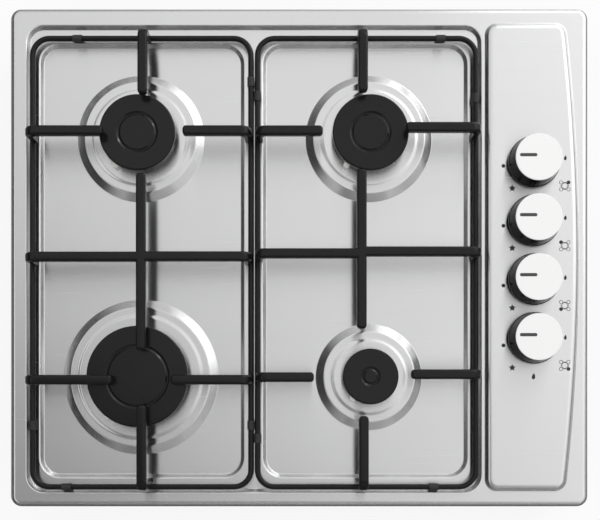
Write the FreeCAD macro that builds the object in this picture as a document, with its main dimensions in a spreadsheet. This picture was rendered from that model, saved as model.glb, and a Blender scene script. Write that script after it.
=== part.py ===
"""Built-in gas cooktop, 580 x 500 mm, with four burners and controls on the right.

Frame: X to the right (knob side), Y to the back, Z up. The origin is the middle of the
underside of the bottom casing. Lengths are millimetres, angles are degrees.
"""
import FreeCAD, Part
import math
import os

import Sketcher
from FreeCAD import Placement, Rotation, Vector

doc = FreeCAD.newDocument("gas_cooktop")
sheet = doc.addObject("Spreadsheet::Sheet", "Sizes")


# ------------------------------------------------------------------ lengths with a formula

class Length:
    """A number together with the spreadsheet formula that gives it."""

    def __init__(self, text, number):
        self.text = text
        self.number = number

    def join(self, sign, other, number):
        return Length("(%s %s %s)" % (self.text, sign, other.text), number)

    def __add__(self, other):
        other = length(other)
        return self.join("+", other, self.number + other.number)

    def __sub__(self, other):
        other = length(other)
        return self.join("-", other, self.number - other.number)

    def __mul__(self, other):
        other = length(other)
        return self.join("*", other, self.number * other.number)

    def __truediv__(self, other):
        other = length(other)
        return self.join("/", other, self.number / other.number)

    def __neg__(self):
        return Length("(0 - %s)" % self.text, -self.number)


def length(item):
    """A Length, also from a plain number."""
    if isinstance(item, Length):
        return item
    return Length(repr(item), float(item))


def tangent(angle):
    return Length("tan(%s)" % angle.text, math.tan(math.radians(angle.number)))


def cosine(angle):
    return Length("cos(%s)" % angle.text, math.cos(math.radians(angle.number)))


def sine(angle):
    return Length("sin(%s)" % angle.text, math.sin(math.radians(angle.number)))


cells_used = 0


def size(name, number):
    """A driving dimension: a plain number in a cell of its own, known by its name."""
    global cells_used
    cells_used += 1
    cell = "B%d" % cells_used
    sheet.set("A%d" % cells_used, name.replace("_", " "))
    sheet.set(cell, str(number))
    sheet.setAlias(cell, name)
    return Length("Sizes." + name, float(number))


zero = length(0)

# ------------------------------------------------------------------ driving dimensions

# Pressed stainless top.
plate_width = size("plate_width", 580)
plate_depth = size("plate_depth", 500)
plate_corner = size("plate_corner", 10.8)
top_gauge = size("top_gauge", 0.8)
edge_roll = size("edge_roll", 6)
bend_inside = size("bend_inside", 1.2)
worktop_level = size("worktop_level", 42)
rim_rise = size("rim_rise", 10)
edge_gap = size("edge_gap", 0.8)

# Recess that holds the pan supports, and the two wells in it.
recess_depth = size("recess_depth", 4)
recess_left = size("recess_left", 273.1)
recess_right = size("recess_right", 182.5)
recess_back = size("recess_back", 232.3)
recess_front = size("recess_front", 235.5)
recess_corner = size("recess_corner", 17)
wall_slope = size("wall_slope", 50)
well_depth = size("well_depth", 4)
well_back = size("well_back", 215.2)
well_front = size("well_front", 221.1)
well_corner = size("well_corner", 20)
left_well_outer = size("left_well_outer", 260.8)
left_well_inner = size("left_well_inner", 55.3)
right_well_inner = size("right_well_inner", 36.6)
right_well_outer = size("right_well_outer", 169.5)

# Raised domes under the burners.
dome_rise = size("dome_rise", 5.5)
dome_slope = size("dome_slope", 34)
dome_roll = size("dome_roll", 3)
collar_rise = size("collar_rise", 1)
collar_slope = size("collar_slope", 20)
collar_inset = size("collar_inset", 15)
rapid_dome = size("rapid_dome", 78)
semirapid_dome = size("semirapid_dome", 63.8)
auxiliary_dome = size("auxiliary_dome", 53.5)

# Raised control panel with a bowed right side.
panel_rise = size("panel_rise", 4.5)
panel_left = size("panel_left", 185.8)
panel_right = size("panel_right", 279.9)
panel_reach = size("panel_reach", 234)
panel_corner = size("panel_corner", 12)
panel_bow = size("panel_bow", 2045)
panel_roll = size("panel_roll", 7)

# Burner places and sizes.
left_burner_x = size("left_burner_x", -159.5)
right_burner_x = size("right_burner_x", 70.2)
rear_burner_y = size("rear_burner_y", 120.5)
front_burner_y = size("front_burner_y", -119.8)
rapid_cap = size("rapid_cap", 50)
semirapid_cap = size("semirapid_cap", 37.5)
auxiliary_cap = size("auxiliary_cap", 27.5)
cap_top_height = size("cap_top_height", 25)
cap_thick = size("cap_thick", 5)
cap_overhang = size("cap_overhang", 5)
cap_edge_roll = size("cap_edge_roll", 1.6)
cap_locating_depth = size("cap_locating_depth", 2.5)
groove_width = size("groove_width", 3.8)
groove_depth = size("groove_depth", 1.3)
groove_slant = size("groove_slant", 1.2)
rapid_groove = size("rapid_groove", 32)
semirapid_groove = size("semirapid_groove", 20.6)
auxiliary_groove = size("auxiliary_groove", 9.8)
crown_height = size("crown_height", 10)
crown_wall = size("crown_wall", 6)
crown_floor = size("crown_floor", 2.5)
mixing_wall = size("mixing_wall", 1.8)
rapid_mixing = size("rapid_mixing", 12)
semirapid_mixing = size("semirapid_mixing", 9.5)
auxiliary_mixing = size("auxiliary_mixing", 6)
mixing_drop = size("mixing_drop", 7)
mixing_rise = size("mixing_rise", 4)
port_width = size("port_width", 1.8)
port_depth = size("port_depth", 4.5)
rapid_ports = size("rapid_ports", 40)
semirapid_ports = size("semirapid_ports", 30)
auxiliary_ports = size("auxiliary_ports", 20)
cup_under_crown = size("cup_under_crown", 8)
cup_wall = size("cup_wall", 2)
cup_floor_level = size("cup_floor_level", 30)
cup_foot_level = size("cup_foot_level", 17)
cup_foot = size("cup_foot", 9)
flange_width = size("flange_width", 7)
flange_thick = size("flange_thick", 2.5)

# Injectors, igniters and gas pipes.
injector_bore = size("injector_bore", 2)
injector_orifice = size("injector_orifice", 0.6)
injector_stem = size("injector_stem", 4.5)
injector_stem_length = size("injector_stem_length", 7)
injector_head = size("injector_head", 5.5)
injector_head_height = size("injector_head_height", 4)
igniter_reach = size("igniter_reach", 4.3)
igniter_angle = size("igniter_angle", 231.6)
igniter_ceramic = size("igniter_ceramic", 3.2)
igniter_collar = size("igniter_collar", 4.8)
igniter_bottom = size("igniter_bottom", 34)
igniter_top = size("igniter_top", 59)
igniter_pin = size("igniter_pin", 0.9)
igniter_pin_height = size("igniter_pin_height", 2.5)
igniter_pin_depth = size("igniter_pin_depth", 5)
igniter_ear = size("igniter_ear", 7.5)
pipe_level = size("pipe_level", 23.5)
pipe_outside = size("pipe_outside", 4)
pipe_bore = size("pipe_bore", 3)
pipe_bend = size("pipe_bend", 18)
pipe_socket = size("pipe_socket", 4.2)

# Pan supports.
support_top_height = size("support_top_height", 41)
ring_rod = size("ring_rod", 2.75)
ring_height = size("ring_height", 7.3)
ring_corner = size("ring_corner", 17)
ring_back = size("ring_back", 217.5)
ring_front = size("ring_front", 229.6)
left_ring_outer = size("left_ring_outer", -265.8)
left_ring_inner = size("left_ring_inner", -48.2)
right_ring_inner = size("right_ring_inner", -41.6)
right_ring_outer = size("right_ring_outer", 176)
bar_width = size("bar_width", 9.5)
bar_height = size("bar_height", 7)
bar_edge = size("bar_edge", 2.5)
bar_tip = size("bar_tip", 3.6)
bar_bend = size("bar_bend", 11)
bar_bend_inside = size("bar_bend_inside", 4)
leg_outset = size("leg_outset", 1.5)
foot_length = size("foot_length", 9)
foot_sleeve = size("foot_sleeve", 0.8)
foot_pad_width = size("foot_pad_width", 4)

# Bottom casing and its fixings.
casing_gauge = size("casing_gauge", 0.8)
casing_width = size("casing_width", 552)
casing_depth = size("casing_depth", 472)
casing_corner = size("casing_corner", 8)
casing_flange = size("casing_flange", 9)
notch_width = size("notch_width", 71)
notch_depth = size("notch_depth", 46)
gasket_width = size("gasket_width", 8.5)
rail_width = size("rail_width", 30)
rail_gauge = size("rail_gauge", 1.2)
rail_length = size("rail_length", 340)
vent_length = size("vent_length", 44)
vent_width = size("vent_width", 5)
vent_pitch = size("vent_pitch", 14)
vent_count = size("vent_count", 5)
clip_x = size("clip_x", 180)
clip_width = size("clip_width", 20)
clip_gauge = size("clip_gauge", 1.5)
clip_foot = size("clip_foot", 10)
clip_bottom = size("clip_bottom", 6)
clip_top = size("clip_top", 38)
clip_slot = size("clip_slot", 16)
clip_screw_level = size("clip_screw_level", 26)
screw_shank = size("screw_shank", 1.9)
screw_head = size("screw_head", 3.4)
screw_head_height = size("screw_head_height", 2.2)
screw_head_crown = size("screw_head_crown", 2.4)
screw_length = size("screw_length", 8)

# Taps, spindles and knobs.
knob_x = size("knob_x", 232.8)
first_knob_y = size("first_knob_y", 93.2)
knob_pitch = size("knob_pitch", 58.2)
manifold_level = size("manifold_level", 12)
manifold_outside = size("manifold_outside", 7)
manifold_bore = size("manifold_bore", 5.5)
manifold_front = size("manifold_front", 108)
tap_bottom = size("tap_bottom", 19.3)
tap_block = size("tap_block", 24)
tap_shoulder = size("tap_shoulder", 33)
tap_barrel = size("tap_barrel", 11)
tap_top = size("tap_top", 49)
tap_spigot = size("tap_spigot", 3)
tap_spigot_length = size("tap_spigot_length", 2.6)
tap_nozzle = size("tap_nozzle", 6)
tap_nozzle_length = size("tap_nozzle_length", 7)
plug_bottom = size("plug_bottom", 21)
plug_top = size("plug_top", 34)
plug_small = size("plug_small", 5.6)
plug_large = size("plug_large", 7.4)
plug_port = size("plug_port", 1.5)
tang_width = size("tang_width", 4.8)
tang_thick = size("tang_thick", 2)
tang_height = size("tang_height", 7.5)
spring_wire = size("spring_wire", 0.8)
spring_radius = size("spring_radius", 4.3)
spring_turns = size("spring_turns", 3.5)
spring_chamber = size("spring_chamber", 5.4)
spindle_radius = size("spindle_radius", 3)
spindle_collar = size("spindle_collar", 4.8)
spindle_collar_height = size("spindle_collar_height", 1.8)
spindle_bottom = size("spindle_bottom", 38.2)
spindle_top = size("spindle_top", 73)
spindle_flat = size("spindle_flat", 1.6)
neck_length = size("neck_length", 3.4)
push_travel = size("push_travel", 3)
knob_lift = size("knob_lift", 3.8)
knob_height = size("knob_height", 19.8)
knob_base = size("knob_base", 25.6)
knob_top = size("knob_top", 22.7)
knob_band = size("knob_band", 2.4)
knob_band_step = size("knob_band_step", 0.5)
knob_wall = size("knob_wall", 2)
knob_crown_wall = size("knob_crown_wall", 2.8)
knob_hub = size("knob_hub", 6)
knob_hub_drop = size("knob_hub_drop", 13)
disc_radius = size("disc_radius", 22.8)
disc_spigot = size("disc_spigot", 20)
disc_thick = size("disc_thick", 3)
disc_sunk = size("disc_sunk", 1.2)
disc_edge = size("disc_edge", 1)
pointer_length = size("pointer_length", 17)
pointer_width = size("pointer_width", 3.2)
pointer_depth = size("pointer_depth", 0.4)
pointer_inset = size("pointer_inset", 4.2)
panel_hole = size("panel_hole", 7)
seal_flange = size("seal_flange", 9)
seal_height = size("seal_height", 1.3)
seal_drop = size("seal_drop", 1.6)

# Gas inlet, mains terminal and spark generator.
thread_radius = size("thread_radius", 10.48)
thread_length = size("thread_length", 14)
inlet_hex = size("inlet_hex", 13)
inlet_hex_height = size("inlet_hex_height", 5)
inlet_body = size("inlet_body", 9.4)
inlet_socket = size("inlet_socket", 12)
terminal_width = size("terminal_width", 26)
terminal_depth = size("terminal_depth", 26)
terminal_height = size("terminal_height", 20)
terminal_entry = size("terminal_entry", 4)
terminal_entry_depth = size("terminal_entry_depth", 17)
terminal_pole = size("terminal_pole", 2)
terminal_pole_depth = size("terminal_pole_depth", 4)
terminal_pole_inset = size("terminal_pole_inset", 5.2)
terminal_pole_pitch = size("terminal_pole_pitch", 7.8)
generator_width = size("generator_width", 62)
generator_depth = size("generator_depth", 34)
generator_height = size("generator_height", 24)
generator_x = size("generator_x", 118)
generator_y = size("generator_y", 205)
nipple_radius = size("nipple_radius", 2.6)
nipple_length = size("nipple_length", 5)
lead_radius = size("lead_radius", 1.5)
lead_level = size("lead_level", 6)
lead_bend = size("lead_bend", 14)
lead_pitch = size("lead_pitch", 7)
lead_beside_rail = size("lead_beside_rail", 27)
generator_corner = size("generator_corner", 3)

# Clearances.
rest_gap = size("rest_gap", 0.2)
hole_gap = size("hole_gap", 0.3)
running_gap = size("running_gap", 0.08)
fit_gap = size("fit_gap", 0.1)

doc.recompute()

# ------------------------------------------------------------------ levels that follow

rim_level = worktop_level + rim_rise
ledge_level = rim_level - recess_depth
floor_level = ledge_level - well_depth
edge_level = worktop_level + edge_gap
dome_level = floor_level + dome_rise
collar_level = dome_level + collar_rise
panel_level = rim_level + panel_rise
cap_top_level = floor_level + cap_top_height
cap_under_level = cap_top_level - cap_thick
crown_top_level = cap_under_level - rest_gap
crown_bottom_level = crown_top_level - crown_height
support_top_level = floor_level + support_top_height
ring_level = ledge_level + ring_height
flange_top_level = ledge_level - top_gauge - rest_gap
flange_under_level = flange_top_level - casing_gauge
casing_left = -casing_width / 2
casing_right = casing_width / 2
casing_back = casing_depth / 2
knob_bottom_level = panel_level + knob_lift
knob_top_level = knob_bottom_level + knob_height


# ------------------------------------------------------------------ modelling helpers

def place(item, x=zero, y=zero, z=zero, turn=0):
    """Puts an object at a place given by lengths, turned about Z."""
    spin = Rotation(Vector(0, 0, 1), turn)
    item.Placement = Placement(Vector(x.number, y.number, z.number), spin)
    item.setExpression("Placement.Base.x", x.text)
    item.setExpression("Placement.Base.y", y.text)
    item.setExpression("Placement.Base.z", z.text)
    return item


def new_body(label):
    body = doc.addObject("PartDesign::Body", label)
    body.Label = label
    return body


def sketch_on(body, role, offset=zero):
    """An empty sketch on one of the body's own origin planes, moved along its normal."""
    support = [item for item in body.Origin.OriginFeatures if item.Role == role][0]
    sketch = body.newObject("Sketcher::SketchObject", "Sketch")
    sketch.AttachmentSupport = [(support, "")]
    sketch.MapMode = "FlatFace"
    sketch.setExpression("AttachmentOffset.Base.z", offset.text)
    return sketch


def pin_point(sketch, geometry, point, x, y):
    """Holds one point of a sketch at x, y, which are lengths."""
    for kind, axis, goal in (("DistanceX", -2, x), ("DistanceY", -1, y)):
        if goal.text == "0":
            sketch.addConstraint(Sketcher.Constraint("PointOnObject", geometry, point, axis))
            continue
        rule = Sketcher.Constraint(kind, -1, 1, geometry, point, goal.number)
        index = sketch.addConstraint(rule)
        name = "%s_%d_%d" % (kind, geometry, point)
        sketch.renameConstraint(index, name)
        sketch.setExpression("Constraints." + name, goal.text)


def draw_outline(sketch, corners):
    """A closed straight-sided outline through corners, each a pair of lengths."""
    corners = [(length(x), length(y)) for x, y in corners]
    first = len(sketch.Geometry)
    count = len(corners)
    for index in range(count):
        x, y = corners[index]
        next_x, next_y = corners[(index + 1) % count]
        start = Vector(x.number, y.number, 0)
        end = Vector(next_x.number, next_y.number, 0)
        sketch.addGeometry(Part.LineSegment(start, end), False)
    for index in range(count):
        after = first + (index + 1) % count
        sketch.addConstraint(Sketcher.Constraint("Coincident", first + index, 2, after, 1))
    for index in range(count):
        x, y = corners[index]
        pin_point(sketch, first + index, 1, x, y)


def draw_circle(sketch, x, y, radius):
    centre = Vector(x.number, y.number, 0)
    index = sketch.addGeometry(Part.Circle(centre, Vector(0, 0, 1), radius.number), False)
    pin_point(sketch, index, 3, x, y)
    rule = sketch.addConstraint(Sketcher.Constraint("Radius", index, radius.number))
    sketch.renameConstraint(rule, "Radius_%d" % index)
    sketch.setExpression("Constraints.Radius_%d" % index, radius.text)


def draw_rectangle(sketch, left, right, front, back):
    draw_outline(sketch, [(left, front), (right, front), (right, back), (left, back)])


def grow(body, kind, sketch, depth, slope_from_upright=None, midplane=False, reverse=False):
    """A Pad or Pocket of a sketch; a positive slope narrows it as it goes."""
    feature = body.newObject("PartDesign::" + kind, kind)
    feature.Profile = sketch
    if depth is None:
        feature.Type = 1
        feature.Midplane = midplane
    else:
        feature.setExpression("Length", depth.text)
        feature.Midplane = midplane
    feature.Reversed = reverse
    if slope_from_upright is not None:
        feature.setExpression("TaperAngle", (-slope_from_upright).text)
    doc.recompute()
    return feature


def revolve(body, corners):
    """A full turn about Z of an outline in the XZ plane, given as radius and height."""
    sketch = sketch_on(body, "XZ_Plane")
    draw_outline(sketch, corners)
    feature = body.newObject("PartDesign::Revolution", "Revolution")
    feature.Profile = sketch
    feature.ReferenceAxis = (sketch, ["V_Axis"])
    feature.Angle = 360
    doc.recompute()
    return feature


edge_search = 0.06


def edges_near(feature, spots):
    """Names of the edges whose middle lies at one of the spots (x, y, z), None for any."""
    names = []
    for index, edge in enumerate(feature.Shape.Edges):
        middle = edge.valueAt((edge.FirstParameter + edge.LastParameter) / 2)
        for spot in spots:
            pairs = zip((middle.x, middle.y, middle.z), spot)
            if all(goal is None or abs(have - length(goal).number) < edge_search
                   for have, goal in pairs):
                names.append("Edge%d" % (index + 1))
                break
    return names


def round_edges(body, names, radius):
    """A fillet of the body's present tip on named edges."""
    if not names:
        raise RuntimeError("no edge to round on " + body.Label)
    base = body.Tip
    fillet = body.newObject("PartDesign::Fillet", "Fillet")
    fillet.Base = (base, names)
    fillet.setExpression("Radius", radius.text)
    doc.recompute()


def upright_edges(feature):
    """Names of the straight edges that stand between two levels."""
    return ["Edge%d" % (index + 1) for index, edge in enumerate(feature.Shape.Edges)
            if edge.BoundBox.ZLength > edge_search]


def cylinder(name, radius, height, x, y, z, axis="Z"):
    """A cylinder that starts at x, y, z and runs along an axis."""
    item = doc.addObject("Part::Cylinder", name)
    item.setExpression("Radius", length(radius).text)
    item.setExpression("Height", length(height).text)
    place(item, x, y, z)
    turns = {"Z": Rotation(), "X": Rotation(Vector(0, 1, 0), 90),
             "Y": Rotation(Vector(1, 0, 0), -90)}
    item.Placement = Placement(item.Placement.Base, turns[axis])
    return item


def box(name, left, right, front, back, bottom, top):
    """A box between six lengths."""
    item = doc.addObject("Part::Box", name)
    item.setExpression("Length", (right - left).text)
    item.setExpression("Width", (back - front).text)
    item.setExpression("Height", (top - bottom).text)
    return place(item, left, front, bottom)


def fuse(name, items):
    result = doc.addObject("Part::MultiFuse", name)
    result.Shapes = items
    result.Label = name
    return result


def cut(name, base, tools):
    """A cut by one tool, or by several fused ones."""
    tool = tools[0]
    if len(tools) > 1:
        tool = fuse(name + "_tools", tools)
    result = doc.addObject("Part::Cut", name)
    result.Base = base
    result.Tool = tool
    result.Label = name
    return result


def group(name, items):
    """Separate solids that share one node."""
    result = doc.addObject("Part::Compound", name)
    result.Links = items
    result.Label = name
    return result


subparts = []


def keep(item):
    subparts.append(item)


# ------------------------------------------------------------------ burners as places

class Burner:
    """The place and the sizes of one burner."""

    def __init__(self, name, x, y, cap, dome, groove, mixing, ports):
        self.name = name
        self.x = x
        self.y = y
        self.cap = cap
        self.dome = dome
        self.groove = groove
        self.mixing = mixing
        self.ports = ports
        self.crown = cap - cap_overhang
        self.hole = self.crown - cup_under_crown
        self.cup = self.hole - hole_gap
        self.igniter = self.crown + igniter_reach
        self.screw = self.hole + screw_head + hole_gap

    def igniter_x(self):
        return self.igniter * cosine(igniter_angle)

    def igniter_y(self):
        return self.igniter * sine(igniter_angle)

    def screw_places(self):
        """The two fixing screws stand across from each other, square to the igniter."""
        for quarter in (90, -90):
            angle = igniter_angle + quarter
            yield self.screw * cosine(angle), self.screw * sine(angle)


burners = [
    Burner("rear_left", left_burner_x, rear_burner_y, semirapid_cap, semirapid_dome,
           semirapid_groove, semirapid_mixing, semirapid_ports),
    Burner("front_left", left_burner_x, front_burner_y, rapid_cap, rapid_dome,
           rapid_groove, rapid_mixing, rapid_ports),
    Burner("rear_right", right_burner_x, rear_burner_y, semirapid_cap, semirapid_dome,
           semirapid_groove, semirapid_mixing, semirapid_ports),
    Burner("front_right", right_burner_x, front_burner_y, auxiliary_cap, auxiliary_dome,
           auxiliary_groove, auxiliary_mixing, auxiliary_ports),
]
burner_named = {burner.name: burner for burner in burners}

# Knobs from the back: each works the burner that its sign on the panel shows.
knob_order = ["rear_right", "rear_left", "front_left", "front_right"]


def knob_y(index):
    return first_knob_y - knob_pitch * index


# ------------------------------------------------------------------ pressed top

def rounded_slab(body, kind, level, depth, sides, corner, slope):
    """A pad or pocket with rounded corners and sloping walls, from left, right, front, back."""
    left, right, front, back = sides
    sketch = sketch_on(body, "XY_Plane", level)
    first = len(sketch.Geometry)
    corners = [(left, front), (right, front), (right, back), (left, back)]
    inward = [(1, 1), (-1, 1), (-1, -1), (1, -1)]
    radius = corner.number
    for index in range(4):
        x, y = corners[index]
        sign_x, sign_y = inward[index]
        next_x, next_y = corners[(index + 1) % 4]
        next_sign_x, next_sign_y = inward[(index + 1) % 4]
        along_x = index % 2 == 0
        start = Vector(x.number + (sign_x * radius if along_x else 0),
                       y.number + (0 if along_x else sign_y * radius), 0)
        end = Vector(next_x.number + (next_sign_x * radius if along_x else 0),
                     next_y.number + (0 if along_x else next_sign_y * radius), 0)
        sketch.addGeometry(Part.LineSegment(start, end), False)
        centre = Vector(next_x.number + next_sign_x * radius,
                        next_y.number + next_sign_y * radius, 0)
        circle = Part.Circle(centre, Vector(0, 0, 1), radius)
        angle = math.radians(90 * index - 90)
        sketch.addGeometry(Part.ArcOfCircle(circle, angle, angle + math.pi / 2), False)
    for index in range(4):
        line = first + 2 * index
        arc = line + 1
        after = first + (2 * index + 2) % 8
        sketch.addConstraint(Sketcher.Constraint("Tangent", line, 2, arc, 1))
        sketch.addConstraint(Sketcher.Constraint("Tangent", arc, 2, after, 1))
        direction = "Horizontal" if index % 2 == 0 else "Vertical"
        sketch.addConstraint(Sketcher.Constraint(direction, line))
        if index:
            sketch.addConstraint(Sketcher.Constraint("Equal", first + 1, arc))
    rules = [("Radius", corner, Sketcher.Constraint("Radius", first + 1, radius)),
             ("Front", front, Sketcher.Constraint("DistanceY", -1, 1, first, 1, front.number)),
             ("Right", right, Sketcher.Constraint("DistanceX", -1, 1, first + 2, 1,
                                                  right.number)),
             ("Back", back, Sketcher.Constraint("DistanceY", -1, 1, first + 4, 1,
                                                back.number)),
             ("Left", left, Sketcher.Constraint("DistanceX", -1, 1, first + 6, 1,
                                                left.number))]
    for name, goal, rule in rules:
        index = sketch.addConstraint(rule)
        sketch.renameConstraint(index, name)
        sketch.setExpression("Constraints." + name, goal.text)
    return grow(body, kind, sketch, depth, slope)


def bowed_slab(body, level, depth, sides, corner, bow, slope):
    """The control panel's pad: straight on three sides, a shallow arc on the right."""
    left, right, front, back = sides
    sketch = sketch_on(body, "XY_Plane", level)
    radius = corner.number
    bow_radius = bow.number
    centre_x = right.number - bow_radius
    inner_y = back.number - radius
    inner_x = centre_x + math.sqrt((bow_radius - radius) ** 2 - inner_y ** 2)
    touch = math.atan2(inner_y, inner_x - centre_x)
    normal = Vector(0, 0, 1)
    lines = [Part.LineSegment(Vector(left.number + radius, -back.number, 0),
                              Vector(inner_x, -back.number, 0)),
             Part.ArcOfCircle(Part.Circle(Vector(inner_x, -inner_y, 0), normal, radius),
                              -math.pi / 2, -touch),
             Part.ArcOfCircle(Part.Circle(Vector(centre_x, 0, 0), normal, bow_radius),
                              -touch, touch),
             Part.ArcOfCircle(Part.Circle(Vector(inner_x, inner_y, 0), normal, radius),
                              touch, math.pi / 2),
             Part.LineSegment(Vector(inner_x, back.number, 0),
                              Vector(left.number + radius, back.number, 0)),
             Part.ArcOfCircle(Part.Circle(Vector(left.number + radius, inner_y, 0), normal,
                                          radius), math.pi / 2, math.pi),
             Part.LineSegment(Vector(left.number, inner_y, 0),
                              Vector(left.number, -inner_y, 0)),
             Part.ArcOfCircle(Part.Circle(Vector(left.number + radius, -inner_y, 0), normal,
                                          radius), math.pi, 1.5 * math.pi)]
    for line in lines:
        sketch.addGeometry(line, False)
    for index in range(8):
        rule = Sketcher.Constraint("Tangent", index, 2, (index + 1) % 8, 1)
        sketch.addConstraint(rule)
    for direction, line in (("Horizontal", 0), ("Horizontal", 4), ("Vertical", 6)):
        sketch.addConstraint(Sketcher.Constraint(direction, line))
    for arc in (3, 5, 7):
        sketch.addConstraint(Sketcher.Constraint("Equal", 1, arc))
    sketch.addConstraint(Sketcher.Constraint("PointOnObject", 2, 3, -1))
    rules = [("Radius", corner, Sketcher.Constraint("Radius", 1, radius)),
             ("Bow", bow, Sketcher.Constraint("Radius", 2, bow_radius)),
             ("Middle", right - bow, Sketcher.Constraint("DistanceX", -1, 1, 2, 3, centre_x)),
             ("Front", front, Sketcher.Constraint("DistanceY", -1, 1, 0, 1, front.number)),
             ("Back", back, Sketcher.Constraint("DistanceY", -1, 1, 4, 1, back.number)),
             ("Left", left, Sketcher.Constraint("DistanceX", -1, 1, 6, 1, left.number))]
    for name, goal, rule in rules:
        index = sketch.addConstraint(rule)
        sketch.renameConstraint(index, name)
        sketch.setExpression("Constraints." + name, goal.text)
    return grow(body, "Pad", sketch, depth, slope)


def pressed_form(label, under):
    """The top's outer skin, or with under its hollow: each surface moved in by the gauge."""
    drop = top_gauge if under else zero
    wall_shift = drop * tangent(wall_slope / 2)
    dome_shift = drop * tangent(dome_slope / 2)
    collar_shift = drop * tangent(collar_slope / 2)
    from_upright = length(90) - wall_slope
    outward = bend_inside + top_gauge - drop
    inward = bend_inside + drop
    body = new_body(label)

    bottom = edge_level - edge_gap if under else edge_level
    half_width = plate_width / 2 - drop
    half_depth = plate_depth / 2 - drop
    rim = rim_level - drop
    ledge = ledge_level - drop
    floor = floor_level - drop
    rounded_slab(body, "Pad", bottom, rim - bottom,
                 (-half_width, half_width, -half_depth, half_depth),
                 plate_corner - drop, None)
    panel_sides = (panel_left + wall_shift, panel_right - wall_shift,
                   -(panel_reach - wall_shift), panel_reach - wall_shift)
    bowed_slab(body, rim, panel_rise, panel_sides, panel_corner - wall_shift,
               panel_bow - wall_shift, from_upright)
    recess_sides = (-(recess_left + wall_shift), recess_right + wall_shift,
                    -(recess_front + wall_shift), recess_back + wall_shift)
    rounded_slab(body, "Pocket", rim, recess_depth, recess_sides,
                 recess_corner + wall_shift, from_upright)
    well_spans = [(-left_well_outer, -left_well_inner), (-right_well_inner, right_well_outer)]
    for left, right in well_spans:
        well_sides = (left - wall_shift, right + wall_shift,
                      -(well_front + wall_shift), well_back + wall_shift)
        rounded_slab(body, "Pocket", ledge, well_depth, well_sides,
                     well_corner + wall_shift, from_upright)
    for burner in burners:
        sketch = sketch_on(body, "XY_Plane", floor)
        foot = burner.dome - dome_shift
        draw_circle(sketch, burner.x, burner.y, foot)
        grow(body, "Pad", sketch, dome_rise, length(90) - dome_slope)
        sketch = sketch_on(body, "XY_Plane", floor + dome_rise)
        draw_circle(sketch, burner.x, burner.y, burner.dome - collar_inset - collar_shift)
        grow(body, "Pad", sketch, collar_rise, length(90) - collar_slope)

    run = 1 / math.tan(math.radians(wall_slope.number))
    well_middle = (well_back.number - well_front.number) / 2
    recess_middle = (recess_back.number - recess_front.number) / 2
    round_edges(body, edges_near(body.Tip, [(-half_width, 0, rim)]), edge_roll - drop)
    round_edges(body, edges_near(body.Tip, [(recess_sides[0], recess_middle, rim)]), outward)
    recess_foot = recess_sides[0].number + recess_depth.number * run
    round_edges(body, edges_near(body.Tip, [(recess_foot, recess_middle, ledge)]), inward)
    for left, right in well_spans:
        top = left.number - wall_shift.number
        foot = top + well_depth.number * run
        round_edges(body, edges_near(body.Tip, [(top, well_middle, ledge)]), outward)
        round_edges(body, edges_near(body.Tip, [(foot, well_middle, floor)]), inward)
    panel_side = panel_sides[0].number
    round_edges(body, edges_near(body.Tip, [(panel_side, 0, rim)]), inward)
    panel_edge = panel_side + panel_rise.number * run
    round_edges(body, edges_near(body.Tip, [(panel_edge, 0, rim + panel_rise)]),
                panel_roll - drop)
    for burner in burners:
        foot = burner.dome - dome_shift
        dome_run = dome_rise.number / math.tan(math.radians(dome_slope.number))
        round_circle(body, burner, floor, foot.number, inward)
        round_circle(body, burner, floor + dome_rise, foot.number - dome_run,
                     dome_roll - drop)
    return body


def round_circle(body, burner, level, radius, fillet):
    """Rounds the circular edge of a given radius around a burner."""
    names = []
    for index, edge in enumerate(body.Tip.Shape.Edges):
        if not hasattr(edge.Curve, "Radius") or abs(edge.Curve.Radius - radius) > edge_search:
            continue
        centre = edge.Curve.Center
        off_centre = math.hypot(centre.x - burner.x.number, centre.y - burner.y.number)
        if off_centre < edge_search and abs(centre.z - level.number) < edge_search:
            names.append("Edge%d" % (index + 1))
    round_edges(body, names, fillet)


def make_hob_top():
    """The pressed sheet, with its holes for burners, igniters, screws and knob spindles."""
    skin = pressed_form("top_skin", False)
    hollow = pressed_form("top_hollow", True)
    shell = cut("top_shell", skin, [hollow])
    holes = []
    bottom = floor_level - top_gauge
    depth = panel_level - bottom + top_gauge
    for burner in burners:
        holes.append(cylinder("cup_hole", burner.hole, depth, burner.x, burner.y, bottom))
        holes.append(cylinder("igniter_hole", igniter_ceramic + hole_gap, depth,
                              burner.x + burner.igniter_x(), burner.y + burner.igniter_y(),
                              bottom))
        for x, y in burner.screw_places():
            holes.append(cylinder("screw_hole", screw_shank + hole_gap, depth,
                                  burner.x + x, burner.y + y, bottom))
    for index in range(len(knob_order)):
        holes.append(cylinder("knob_hole", panel_hole, depth, knob_x, knob_y(index), bottom))
    keep(cut("hob_top", shell, holes))


# ------------------------------------------------------------------ bottom casing and seal

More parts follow.
